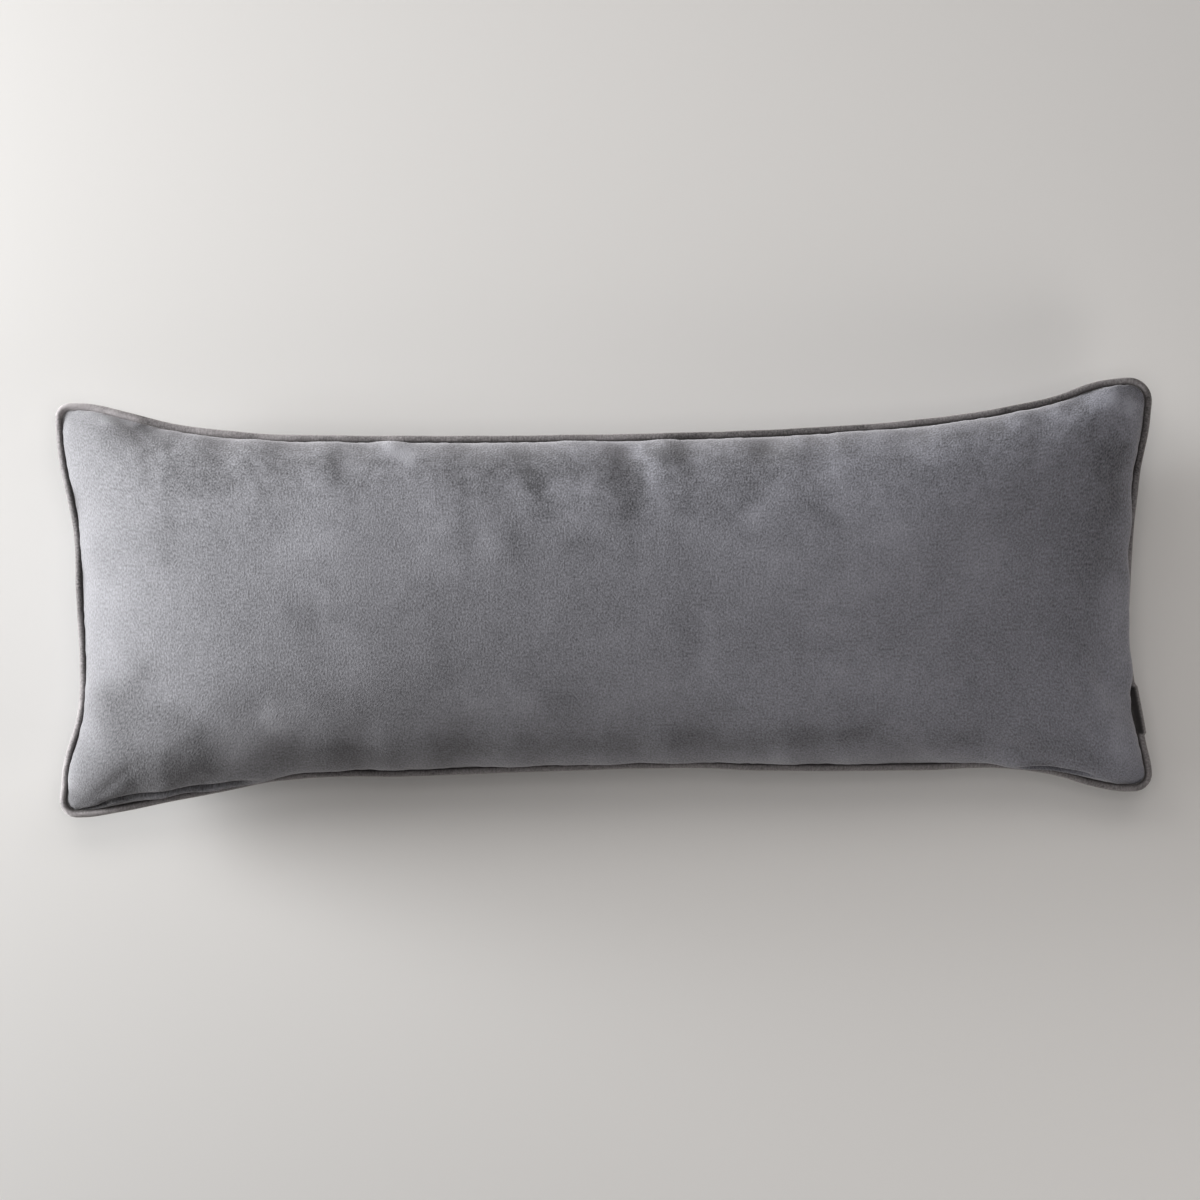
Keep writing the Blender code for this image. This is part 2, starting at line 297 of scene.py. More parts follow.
PATCHES: tuple[Patch, ...] = (
    Patch(0.40, 34.0, 52.0),
    Patch(0.35, 17.0, 26.0),
    Patch(0.25, 8.0, 11.0),
)

BAG_CLOTH: dict[str, float] = {
    "quality": 6,
    "mass": 0.25,
    "tension_stiffness": 25.0,
    "compression_stiffness": 25.0,
    "shear_stiffness": 8.0,
    "bending_stiffness": 0.4,
    "shrink_min": 0.0,
}

# The last column of each crease is the painted shade along its line.
CREASES: tuple[Crease, ...] = (
    Crease(Side.BOTTOM, -0.945, -0.865, 4.0, 25.0, 5.0, 3.0, 0.35),
    Crease(Side.BOTTOM, -0.91, -0.58, 26.5, 18.0, 7.0, 3.5, 0.50),
    Crease(Side.BOTTOM, 0.70, 0.87, 17.0, 24.0, 4.5, 3.0, 0.50),
    Crease(Side.RIGHT, -0.82, -0.47, 2.5, 2.5, 4.0, 2.5, 0.95),
)

# The strokes: brushed nap mixed with painted shade and painted light of folds, the rolled bottom
# edge, the lit left end and the shadowed corner strips.
STROKES: tuple[Stroke, ...] = (
    Stroke(-444, 169, -402, 164, 9, 0.75),
    Stroke(-402, 165, -350, 155, 6, 0.25),
    Stroke(-399, 155, -387, 154, 8, 0.62),
    Stroke(-386, 146, -380, 132, 9, 0.22),
    Stroke(-373, 147, -354, 140, 10, -0.45),
    Stroke(-356, 132, -350, 110, 10, -0.36),
    Stroke(-349, 97, -350, 40, 10, -0.20),
    Stroke(-333, 116, -330, 98, 12, -0.26),
    Stroke(-304, 133, -282, 132, 8, -0.32),
    Stroke(-293, 126, -287, 110, 11, -0.26),
    Stroke(-310, 118, -306, 98, 11, -0.32),
    Stroke(-266, 133, -225, 133, 7, -0.26),
    Stroke(-264, 114, -228, 116, 13, -0.22),
    Stroke(-239, 124, -234, 110, 7, -0.18),
    Stroke(-284, 122, -278, 110, 8, -0.16),
    Stroke(-274, 110, -270, 105, 6, 0.24),
    Stroke(-234, 107, -230, 101, 6, 0.22),
    Stroke(-220, 121, -214, 108, 7, -0.24),
    Stroke(-204, 124, -200, 112, 7, 0.24),
    Stroke(-211, 128, -207, 110, 8, 0.10),
    Stroke(-216, 112, -190, 98, 14, -0.20),
    Stroke(-192, 132, -182, 120, 10, -0.48),
    Stroke(-170, 127, -158, 116, 8, 1.05),
    Stroke(-144, 118, -40, 114, 16, -0.30),
    Stroke(-299, 85, -286, 22, 13, 0.14),
    Stroke(-270, 92, -260, 60, 9, -0.14),
    Stroke(-240, 48, -150, 42, 36, 0.22),
    Stroke(-225, 12, -222, 6, 6, 0.16),
    Stroke(-252, -8, -234, -12, 9, -0.08),
    Stroke(-206, -30, -202, -66, 16, 0.14),
    Stroke(-214, 2, -208, -28, 13, 0.14),
    Stroke(-402, 8, -406, -28, 9, 0.12),
    Stroke(-374, -50, -399, -74, 12, -0.26),
    Stroke(-413, -80, -396, -104, 16, -0.32),
    Stroke(-386, -84, -357, -90, 14, -0.20),
    Stroke(-425, -122, -345, -130, 16, -0.24),
    Stroke(-438, -153, -396, -146, 8, -0.40),
    Stroke(-396, -141, -268, -130, 10, -0.26),
    Stroke(-332, -106, -330, -132, 12, -0.36),
    Stroke(-428, -159, -402, -156, 6, -0.35),
    Stroke(-395, -157, -338, -153, 5, 0.10),
    Stroke(-330, -152, -240, -142, 5, 0.20),
    Stroke(-307, -94, -305, -123, 8, 0.16),
    Stroke(-293, -92, -249, -86, 15, 0.26),
    Stroke(-275, -84, -272, -95, 8, 0.36),
    Stroke(-140, 76, -136, 58, 10, 0.14),
    Stroke(-146, 40, -124, 20, 16, 0.10),
    Stroke(-111, 96, -113, 42, 6, -0.18),
    Stroke(-97, 78, -94, 38, 10, 0.14),
    Stroke(-103, 114, -99, 106, 6, 0.22),
    Stroke(-75, 90, -70, 84, 6, 0.16),
    Stroke(-64, 120, -58, 97, 9, -0.34),
    Stroke(-54, 91, -47, 67, 9, -0.30),
    Stroke(-72, 54, -71, 34, 8, -0.24),
    Stroke(-84, 126, -66, 126, 4, 0.16),
    Stroke(-34, 92, -16, 90, 9, 0.34),
    Stroke(-32, 70, -20, 62, 9, 0.14),
    Stroke(-24, 46, -6, 44, 9, -0.20),
    Stroke(-88, 104, 132, 102, 24, -0.20),
    Stroke(-18, 123, 0, 123, 6, 0.26),
    Stroke(6, 123, 24, 118, 8, 0.52),
    Stroke(4, 102, 10, 78, 8, -0.14),
    Stroke(26, 99, 26, 70, 11, -0.34),
    Stroke(29, 115, 42, 98, 7, 0.26),
    Stroke(22, 66, 20, 32, 10, -0.20),
    Stroke(60, 72, 100, 66, 12, -0.18),
    Stroke(36, 118, 66, 116, 11, -0.42),
    Stroke(78, 116, 88, 96, 8, 0.20),
    Stroke(94, 118, 120, 118, 9, -0.06),
    Stroke(133, 119, 145, 117, 9, -0.12),
    Stroke(104, 93, 118, 82, 11, -0.16),
    Stroke(118, 64, 150, 91, 9, 0.28),
    Stroke(112, 48, 122, 46, 6, -0.18),
    Stroke(54, 48, 60, 26, 9, -0.12),
    Stroke(82, -22, 84, -62, 8, 0.14),
    Stroke(64, -30, 66, -48, 9, -0.12),
    Stroke(-130, -30, -130, -56, 8, -0.12),
    Stroke(-90, -18, -88, -24, 9, -0.10),
    Stroke(-118, -72, -112, -84, 10, 0.10),
    Stroke(-104, -82, -68, -82, 15, 0.20),
    Stroke(8, -84, 56, -80, 14, 0.14),
    Stroke(-40, -82, -34, -92, 10, -0.12),
    Stroke(80, -92, 96, -93, 9, -0.14),
    Stroke(-256, -121, 205, -118, 12.5, -0.38),
    Stroke(-232, -135, -130, -134, 10, -0.36),
    Stroke(-190, -116, -177, -127, 8, -0.28),
    Stroke(-226, -115, -206, -117, 12, -0.18),
    Stroke(-112, -115, -98, -115, 12, -0.18),
    Stroke(-312, -115, -296, -116, 12, 0.14),
    Stroke(112, 15, 310, 15, 46, 0.16),
    Stroke(132, 118, 200, 120, 12.5, -0.34),
    Stroke(163, 124, 169, 116, 6, 0.24),
    Stroke(187, 100, 195, 70, 8, 0.10),
    Stroke(165, 68, 181, 56, 10, -0.26),
    Stroke(207, 114, 223, 122, 10, 0.14),
    Stroke(229, 120, 243, 112, 9, 0.12),
    Stroke(264, 127, 289, 129, 10, -0.32),
    Stroke(322, 138, 330, 124, 10, -0.36),
    Stroke(222, 74, 236, 44, 12, 0.10),
    Stroke(345, 138, 351, 130, 8, 0.12),
    Stroke(375, 145, 382, 139, 6, 0.36),
    Stroke(394, 153, 400, 139, 8, -0.22),
    Stroke(417, 156, 429, 149, 9, 0.75),
    Stroke(355, 120, 383, 114, 14, 0.10),
    Stroke(250, 95, 298, 92, 14, -0.08),
    Stroke(411, 104, 402, 30, 22, -0.32),
    Stroke(424, 115, 422, 65, 11, -0.30),
    Stroke(398, 2, 392, -42, 17, -0.16),
    Stroke(372, 52, 366, -42, 18, -0.16),
    Stroke(336, 32, 336, -20, 14, -0.10),
    Stroke(168, -12, 176, -30, 14, 0.14),
    Stroke(422, -8, 420, -62, 11, 0.20),
    Stroke(430, 160, 438, 150, 8, 0.40),
    Stroke(410, -81, 420, -130, 12, 0.28),
    Stroke(160, -42, 178, -42, 10, -0.14),
    Stroke(186, -66, 230, -70, 14, 0.12),
    Stroke(226, -124, 300, -124, 11, -0.22),
    Stroke(353, -130, 402, -146, 10, -0.20),
    # Thin strokes along the seam: painted shade and painted light on the rim and the piping.
    Stroke(-435, 95, -433, -5, 5, -0.45),
    Stroke(-450, 171, -428, 171, 4, 0.45),
    Stroke(-408, 167, -375, 156, 4, -0.60),
    Stroke(-325, 146, -295, 142, 4, 0.30),
    Stroke(-275, 140, -215, 137, 4, 0.45),
    Stroke(60, 133, 215, 136, 5, -0.45),
    Stroke(225, 138, 262, 142, 5, -0.25),
    Stroke(330, 152, 384, 161, 5, -0.50),
    Stroke(394, 165, 440, 172, 4, -0.35),
    Stroke(453, 165, 443, 95, 4, -0.50),
    Stroke(443, 88, 438, 30, 4, -0.25),
    Stroke(345, -148, 440, -170, 4, -0.25),
    Stroke(440, -90, 450, -160, 6, -0.20),
    Stroke(-432, -60, -444, -116, 4, 0.35),
    Stroke(-446, -124, -453, -158, 4, 0.55),
    Stroke(-446, -170, -412, -168, 4.5, 0.80),
    Stroke(-375, -162, -335, -158, 4, 0.25),
    Stroke(-325, -157, -285, -151, 4, 0.75),
)


def smooth(part: np.ndarray) -> np.ndarray:
    """A step that rises from 0 to 1 and is level at both ends."""
    return part * part * (3 - 2 * part)


def hermite(knots: np.ndarray, values: np.ndarray, at: np.ndarray) -> np.ndarray:
    """Read a smooth curve through rows of values.

    Between two rows the curve is the cubic that takes their values and the
    slopes that the rows beside them give.

    Args:
        knots: Rising places of the rows.
        values: One value, or one array of values, for each row.
        at: Places at which the curve is read.

    Returns:
        The values there, with the shape of at and then that of one row.
    """
    slopes = np.gradient(values, knots, axis=0)
    cell = np.clip(np.searchsorted(knots, at) - 1, 0, len(knots) - 2)
    trailing = (1,) * (values.ndim - 1)
    span = (knots[cell + 1] - knots[cell]).reshape(at.shape + trailing)
    part = (at - knots[cell]).reshape(at.shape + trailing) / span
    lead = part * (1 - part) ** 2
    trail = part * part * (1 - part)
    rise = (values[cell + 1] - values[cell]) * smooth(part)
    return values[cell] + rise + slopes[cell] * span * lead - slopes[cell + 1] * span * trail


def fade(distance: np.ndarray, reach: float) -> np.ndarray:
    """One at no distance, falling on a smooth step to nothing at the reach."""
    return smooth(np.clip(1 - distance / reach, 0, 1))


def ripple(travel: np.ndarray, waves: Sequence[Wave]) -> np.ndarray:
    """Sum of sine waves whose phases drift slowly, so that none repeats.

    Args:
        travel: Distance along the row of puckers.
        waves: The waves, each with its length, phase and share.

    Returns:
        Heights from about -1 to 1.
    """
    drift, slower = 0.8, 3.7
    height = np.zeros_like(travel)
    for wave in waves:
        turn = 2 * math.pi * travel / wave.length + wave.phase
        height = height + wave.share * np.sin(turn + drift * np.sin(turn / slower))
    return height


def lumps(x: np.ndarray, y: np.ndarray, size: tuple[float, float], seed: int) -> np.ndarray:
    """Smooth random hills.

    A lattice of seeded random numbers is read between its points on a smooth
    step each way.

    Args:
        x: Distances along the cloth.
        y: Distances across it.
        size: Distance between lattice points along and across.
        seed: Seed of the random numbers.

    Returns:
        Heights from -1 to 1.
    """
    side = 128
    lattice = np.random.default_rng(seed).uniform(-1, 1, (side, side))
    column, row = x / size[0], y / size[1]
    left, low = np.floor(column).astype(int), np.floor(row).astype(int)
    over, up = smooth(column - left), smooth(row - low)

    def at(right: int, above: int) -> np.ndarray:
        """The lattice's numbers at a corner of each cell."""
        return lattice[(left + right) % side, (low + above) % side]

    bottom = at(0, 0) * (1 - over) + at(1, 0) * over
    top = at(0, 1) * (1 - over) + at(1, 1) * over
    return bottom * (1 - up) + top * up


def unit(vectors: np.ndarray) -> np.ndarray:
    """Vectors scaled to a length of one, along the last axis."""
    return vectors / np.linalg.norm(vectors, axis=-1, keepdims=True)


def add_object(name: str, data: bpy.types.ID) -> bpy.types.Object:
    """Put a mesh, a light or a camera into the scene.

    Args:
        name: Name of the object.
        data: What it shows.

    Returns:
        The new object, at the origin.
    """
    made = bpy.data.objects.new(name, data)
    bpy.context.scene.collection.objects.link(made)
    return made


def add_mesh(
    name: str, points: np.ndarray, faces: np.ndarray, uv: np.ndarray
) -> bpy.types.Object:
    """Make a smooth mesh object of four-sided faces.

    Args:
        name: Name of the piece.
        points: Points in millimetres, one row each.
        faces: Indices of the corners, four to a row.
        uv: Place on the cloth for each face corner, in metres.

    Returns:
        The new object, at the origin.
    """
    data = bpy.data.meshes.new(name)
    data.vertices.add(len(points))
    data.vertices.foreach_set("co", (points * MM).astype(np.float32).ravel())
    data.loops.add(faces.size)
    data.loops.foreach_set("vertex_index", faces.astype(np.int32).ravel())
    data.polygons.add(len(faces))
    data.polygons.foreach_set("loop_start", np.arange(0, faces.size, 4, dtype=np.int32))
    data.update(calc_edges=True)
    data.validate()
    layer = data.uv_layers.new(name="cloth")
    layer.uv.foreach_set("vector", uv.astype(np.float32).ravel())
    data.shade_smooth()
    return add_object(name, data)


def write_marks(piece: bpy.types.Object, marks: Mapping[str, np.ndarray]) -> None:
    """Give each point of a piece the numbers that its material reads.

    Args:
        piece: The piece.
        marks: The numbers of all points, by their attribute's name.
    """
    for name, values in marks.items():
        layer = piece.data.attributes.new(name, "FLOAT", "POINT")
        layer.data.foreach_set("value", values.astype(np.float32).ravel())


@dataclass
class Seam:
    """The seam: four drawn-in sides that turn on small arcs at the corners."""

    length: float = 895.0
    width: float = 331.0
    skew: float = 3.2
    left_bottom_radius: float = 9.5
    right_bottom_radius: float = 9.5
    right_top_radius: float = 16.0
    left_top_radius: float = 6.0

    def value(self, side: Side, name: str, along: np.ndarray) -> np.ndarray:
        """Read one column of a side's table on a smooth curve.

        Args:
            side: The side of the seam.
            name: The column, such as bow or height.
            along: Places from -1 to 1.

        Returns:
            The column's values there.
        """
        knots = np.array([row.along for row in SIDES[side]])
        values = np.array([getattr(row, name) for row in SIDES[side]])
        return hermite(knots, values, along)

    def side_points(self, side: Side, along: np.ndarray) -> np.ndarray:
        """Points of one side: a straight run less its bow, at the seam's height.

        Args:
            side: The side of the seam.
            along: Places from -1 to 1.

        Returns:
            A point for each place.
        """
        bow = self.value(side, "bow", along)
        height = self.value(side, "height", along)
        if side in (Side.TOP, Side.BOTTOM):
            outward = 1 if side is Side.TOP else -1
            x = self.length / 2 * along + self.skew * outward
            y = outward * (self.width / 2 - bow)
        else:
            outward = 1 if side is Side.RIGHT else -1
            x = outward * (self.length / 2 - bow) + self.skew * along
            y = self.width / 2 * along
        return np.stack([x, y, height], axis=-1)

    def round_corners(self, s: np.ndarray, t: np.ndarray) -> tuple[np.ndarray, np.ndarray]:
        """Draw the corners of the square in, each on an arc of its radius.

        Args:
            s: Places along the cushion, from -1 to 1.
            t: Places across it, from -1 to 1.

        Returns:
            The places along and across, drawn in beside the corners.
        """
        x = s * self.length / 2
        y = t * self.width / 2
        corners = (
            (-1, -1, self.left_bottom_radius),
            (1, -1, self.right_bottom_radius),
            (1, 1, self.right_top_radius),
            (-1, 1, self.left_top_radius),
        )
        for turn_x, turn_y, radius in corners:
            out_x = np.clip((x * turn_x - self.length / 2 + radius) / radius, 0, 1)
            out_y = np.clip((y * turn_y - self.width / 2 + radius) / radius, 0, 1)
            x = x - turn_x * radius * out_x * (1 - np.sqrt(1 - out_y**2 / 2))
            y = y - turn_y * radius * out_y * (1 - np.sqrt(1 - out_x**2 / 2))
        return x * 2 / self.length, y * 2 / self.width

    def surface(self, s: np.ndarray, t: np.ndarray) -> np.ndarray:
        """The surface that the four sides span.

        It is the sum of the two surfaces ruled between opposite sides, less
        the flat sheet through the four corners.

        Args:
            s: Places along the cushion, from -1 to 1.
            t: Places across it, from -1 to 1.

        Returns:
            A point for each place.
        """
        s, t = self.round_corners(s, t)
        right = ((1 + s) / 2)[..., None]
        top = ((1 + t) / 2)[..., None]
        low_side, high_side = self.side_points(Side.BOTTOM, s), self.side_points(Side.TOP, s)
        left_side, right_side = self.side_points(Side.LEFT, t), self.side_points(Side.RIGHT, t)
        across = low_side * (1 - top) + high_side * top
        along = left_side * (1 - right) + right_side * right
        ends = np.array([-1.0, 1.0])
        low, high = self.side_points(Side.BOTTOM, ends), self.side_points(Side.TOP, ends)
        corners = (low[0] * (1 - right) + low[1] * right) * (1 - top)
        corners = corners + (high[0] * (1 - right) + high[1] * right) * top
        return across + along - corners

    def ring(self, samples: int) -> tuple[np.ndarray, np.ndarray, np.ndarray]:
        """Points once round the seam, anticlockwise from its left bottom corner.

        Args:
            samples: Points along each side.

        Returns:
            The points, and their places along and across.
        """
        forward = np.linspace(-1, 1, samples, endpoint=False)
        edge = np.ones_like(forward)
        s = np.concatenate([forward, edge, -forward, -edge])
        t = np.concatenate([-edge, forward, edge, -forward])
        return self.surface(s, t), s, t


@dataclass(frozen=True)
class ClothGrid:
    """The places of a panel's grid: columns along the cushion, rows across it.

    u and v are the distances along the cloth from the left and the bottom
    side.  travel and distance hold, for each side of the seam, how far along
    it and how far in from it each place lies.
    """

    s: np.ndarray
    t: np.ndarray
    crown: np.ndarray
    u: np.ndarray
    v: np.ndarray
    travel: dict[Side, np.ndarray]
    distance: dict[Side, np.ndarray]
    half: dict[Side, float]

    @property
    def nearest(self) -> np.ndarray:
        """Distance to the nearest side of the seam."""
        return np.minimum.reduce(list(self.distance.values()))


@dataclass(frozen=True)
class NapAndPaintedShading:
    """The painted marks of the nap, alike on both pieces: brushed nap together with painted shade
    and painted light.
    """

    strokes: tuple[Stroke, ...] = STROKES
    sway: float = 5.0
    sway_size: tuple[float, float] = (24.0, 30.0)
    sway_fine_size: tuple[float, float] = (9.0, 11.0)
    sway_seeds: tuple[tuple[int, int], ...] = ((11, 12), (13, 14))

    def shade(self, points: np.ndarray) -> np.ndarray:
        """Shade of the marks, each a wandering line from end to end of its stroke.

        Args:
            points: Points in millimetres.

        Returns:
            A shade for each point.
        """
        x, y = points[..., 0], points[..., 1]
        ways = [
            lumps(x, y, self.sway_size, broad) + lumps(x, y, self.sway_fine_size, fine) / 2
            for broad, fine in self.sway_seeds
        ]
        swayed = points[..., :2] + np.stack(ways, axis=-1) * self.sway
        shade = np.zeros(points.shape[:-1])
        for stroke in self.strokes:
            start = np.array([stroke.x0, stroke.y0])
            run = np.array([stroke.x1, stroke.y1]) - start
            offset = swayed - start
            part = np.clip(offset @ run / (run @ run), 0, 1)
            away = np.linalg.norm(offset - part[..., None] * run, axis=-1)
            shade = shade + stroke.shade * np.exp(-((away / stroke.width) ** 2))
        return shade


def groove_shade_share(s: np.ndarray, t: np.ndarray) -> np.ndarray:
    """How strong the painted shade of the sewn groove is at places round the seam.

    The window shines into it at the left top corner, where it is faint.

    Args:
        s: Places along the cushion, from -1 to 1.
        t: Places across it, from -1 to 1.

    Returns:
        A share from 0 to 1 for each place.
    """
    faint_to, full_from, corner = -0.64, -0.38, 0.07
    top = fade(full_from - s, full_from - faint_to)
    left = 1 - fade(1 - t, corner)
    return np.where(t >= np.abs(s), top, np.where(-s > np.abs(t), left, 1.0))


@dataclass
class FilledBody:
    """Both suede panels, filled and closed along the seam."""

    seam: Seam
    name: str = "suede_body"
    crown_rise: float = 74.0
    belly_drop: float = 84.0
    length_power: float = 4.4
    width_power: float = 2.55
    ear_pinch: float = 0.35
    ear_power: float = 6.0
    bulge_peak: float = 0.21
    bulge_onset: float = 3.0
    bulge_side_power: float = 8.0
    pucker_depth: float = 2.6
    pucker_reach: float = 100.0
    pucker_start: float = 10.0
    scallop_depth: float = 0.7
    scallop_reach: float = 16.0
    scallop_start: float = 2.5
    upper_seed: int = 20
    lower_seed: int = 40
    patchy_marks: float = 0.5
    calm_nap: float = 0.12
    ruffled_nap: float = 0.24
    ruffled_reach: float = 150.0
    smooth_end: float = 0.6
    smooth_reach: float = 110.0
    # Painted tint for the light's colour along the cushion.
    cool_power: float = 0.7
    crease_ends: float = 0.3
    # Width of the painted shade along each crease's line.
    crease_shade_width: float = 1.9
    # Width of the painted shade in the groove beside the seam.
    groove_shade_width: float = 1.7
    # Painted shade along the rim beside the top, bottom and left sides, and its widths.
    rim_painted_shade: float = -0.50
    top_rim_width: float = 24.0
    rim_width: float = 13.0
    rows: Spacing = Spacing(0.9, 3.6, 3.1, 45.0)
    angle_samples: int = 1200
    bag_rows: Spacing = Spacing(4.0, 8.5, 8.0, 30.0)
    bag_pressure: float = 4.0
    bag_frames: int = 20
    bag_ease: float = 0.06
    bag_ease_reach: float = 110.0
    bag_cap: float = 9.0
    bag_corner_reach: float = 190.0
    bag_corner_damping: float = 1.0

    def row_distances(self, total: float, regular: float, spacing: Spacing) -> np.ndarray:
        """Distances from the seam: close rows beside it, even rows further in.

        Args:
            total: Distance from the seam to the middle.
            regular: Distance between the rows in the middle.
            spacing: Distances beside the seam.

        Returns:
            A distance for each row, from 0 to the total.
        """
        rows = [0.0]
        while rows[-1] < total:
            growth = 1 - math.exp(-rows[-1] / spacing.ramp)
            rows.append(rows[-1] + spacing.first + (regular - spacing.first) * growth)
        return np.array(rows) * total / rows[-1]

    def half_rows(
        self, half: float, power: float, regular: float, spacing: Spacing
    ) -> tuple[np.ndarray, np.ndarray, np.ndarray]:
        """Rows over half a panel, spaced along the cloth from seam to middle.

        A place is the sine of an angle to the power 2 / power, and the crown
        there is the cosine of that angle.

        Args:
            half: Half the panel's size.
            power: How square the section is.
            regular: Distance between the rows in the middle.
            spacing: Distances beside the seam.

        Returns:
            The places from 1 to 0, their crowns and their distances.
        """
        angle = math.pi / 2 * np.linspace(0, 1, self.angle_samples) ** 3
        place, crown = np.sin(angle) ** (2 / power), np.cos(angle)
        steps = np.hypot(np.diff(place * half), np.diff(crown * self.crown_rise))
        travelled = np.concatenate([[0.0], np.cumsum(steps)])
        distance = self.row_distances(travelled[-1], regular, spacing)
        at = np.interp(travelled[-1] - distance, travelled, angle)
        return np.sin(at) ** (2 / power), np.cos(at), distance

    def grid(self, spacing: Spacing) -> ClothGrid:
        """Grid of places over a panel.

        Args:
            spacing: Distances between its rows and columns.

        Returns:
            The grid.
        """
        whole = []
        for half, power, regular in (
            (self.seam.length / 2, self.length_power, spacing.along),
            (self.seam.width / 2, self.width_power, spacing.across),
        ):
            place, crown, distance = self.half_rows(half, power, regular, spacing)
            inner = slice(-2, None, -1)
            places = np.concatenate([-place, place[inner]])
            crowns = np.concatenate([crown, crown[inner]])
            low = np.concatenate([distance, 2 * distance[-1] - distance[inner]])
            whole.append((places, crowns, low))
        (s, crown_along, u), (t, crown_across, v) = whole
        s, t = np.meshgrid(s, t)
        crown = np.outer(crown_across, crown_along)
        crown = crown * (1 - self.ear_pinch * np.abs(s * t) ** self.ear_power)
        from_left, from_bottom = np.meshgrid(u, v)
        half_u, half_v = u[-1] / 2, v[-1] / 2
        travel = dict.fromkeys((Side.TOP, Side.BOTTOM), from_left - half_u)
        travel.update(dict.fromkeys((Side.LEFT, Side.RIGHT), from_bottom - half_v))
        distance = {
            Side.TOP: v[-1] - from_bottom,
            Side.BOTTOM: from_bottom,
            Side.LEFT: from_left,
            Side.RIGHT: u[-1] - from_left,
        }
        half = {Side.TOP: half_u, Side.BOTTOM: half_u, Side.LEFT: half_v, Side.RIGHT: half_v}
        return ClothGrid(s, t, crown, u, v, travel, distance, half)

    def swollen(self, grid: ClothGrid, panel: Panel) -> np.ndarray:
        """A panel swollen by its filling, with no puckers or folds.

        The seam's surface is raised by the crown and pushed out past the
        seam by the bulge, which grows as (x e^(1 - x)) to a power, with x
        the crown over its peak.

        Args:
            grid: Places over the panel.
            panel: Which panel it is.

        Returns:
            A point for each place.
        """
        s, t = grid.s, grid.t
        points = self.seam.surface(s, t)
        swell = grid.crown / self.bulge_peak
        swell = (swell * np.exp(1 - swell)) ** self.bulge_onset
        side = np.where(
            t > 0,
            self.seam.value(Side.TOP, "bulge", s),
            self.seam.value(Side.BOTTOM, "bulge", s),
        )
        end = np.where(
            s > 0,
            self.seam.value(Side.RIGHT, "bulge", t),
            self.seam.value(Side.LEFT, "bulge", t),
        )
        points[..., 0] += swell * end * np.sign(s) * np.abs(s) ** self.bulge_side_power
        points[..., 1] += swell * side * np.sign(t) * np.abs(t) ** self.bulge_side_power
        rise = self.crown_rise if panel is Panel.UPPER else -self.belly_drop
        points[..., 2] += grid.crown * rise
        return points

    def waves(
        self, grid: ClothGrid, waves: Sequence[Wave], depth: float, reach: float
    ) -> np.ndarray:
        """Height of rows of waves that run in from all sides of the seam.

        Args:
            grid: Places over the panel.
            waves: The waves of each row.
            depth: Their height at the seam.
            reach: How far in they fade out.

        Returns:
            A height for each place.
        """
        height = np.zeros_like(grid.s)
        for side in Side:
            row = ripple(grid.travel[side], waves) * depth
            height = height + row * fade(grid.distance[side], reach)
        return height

    def relief(self, grid: ClothGrid, panel: Panel) -> np.ndarray:
        """Height of the puckers and folds, which start a little way in.

        Args:
            grid: Places over the panel.
            panel: Which panel it is.

        Returns:
            A height for each place.
        """
        height = self.waves(grid, PUCKERS, self.pucker_depth, self.pucker_reach)
        if panel is Panel.UPPER:
            for fold in FOLDS:
                distance = grid.distance[fold.side]
                middle = fold.along * grid.half[fold.side] + fold.lean * distance
                trough = np.exp(-(((grid.travel[fold.side] - middle) / fold.width) ** 2))
                height = height - fold.depth * trough * fade(distance, fold.reach)
        return height * (1 - np.exp(-grid.nearest / self.pucker_start)) ** 2

    def scallops(self, grid: ClothGrid) -> np.ndarray:
        """Height of the small gathers that the sewing makes beside the seam."""
        height = self.waves(grid, SCALLOPS, self.scallop_depth, self.scallop_reach)
        return height * (1 - np.exp(-grid.nearest / self.scallop_start)) ** 2

    def creases(self, grid: ClothGrid) -> tuple[np.ndarray, np.ndarray]:
        """The upper panel's creases.

        Args:
            grid: Places over the panel.

        Returns:
            Their depths in millimetres, and the painted shade along their lines.
        """
        depth, shade = np.zeros_like(grid.s), np.zeros_like(grid.s)
        for crease in CREASES:
            span = (crease.end - crease.start) * grid.half[crease.side]
            part = grid.travel[crease.side] - crease.start * grid.half[crease.side]
            part = np.clip(part / span, 0, 1)
            ends = fade(1 - np.minimum(part, 1 - part) / self.crease_ends, 1.0)
            line = crease.rise + (crease.fall - crease.rise) * part
            away = grid.distance[crease.side] - line
            depth = depth + crease.depth * ends * np.exp(-((away / crease.width) ** 2))
            # Painted shade: a dark line drawn along the crease.
            shade = shade + crease.shade * ends * np.exp(-((away / self.crease_shade_width) ** 2))
        return depth, shade

    def normals(self, points: np.ndarray, panel: Panel) -> np.ndarray:
        """Unit normals of a panel's grid of points, out of the body."""
        normal = unit(np.cross(np.gradient(points, axis=1), np.gradient(points, axis=0)))
        return normal if panel is Panel.UPPER else -normal

    def ruffle(self, grid: ClothGrid) -> np.ndarray:
        """How ruffled the nap is: most beside the top side, least at the left end."""
        smoothed = self.smooth_end * fade(grid.distance[Side.LEFT], self.smooth_reach)
        return fade(grid.distance[Side.TOP], self.ruffled_reach) * (1 - smoothed) - smoothed

    def cool(self, points: np.ndarray) -> np.ndarray:
        """Painted tint of the light's colour: nearly neutral at the left end beside the window,
        bluer to the right.
        """
        return np.clip(points[..., 0] / self.seam.length + 0.5, 0, 1) ** self.cool_power

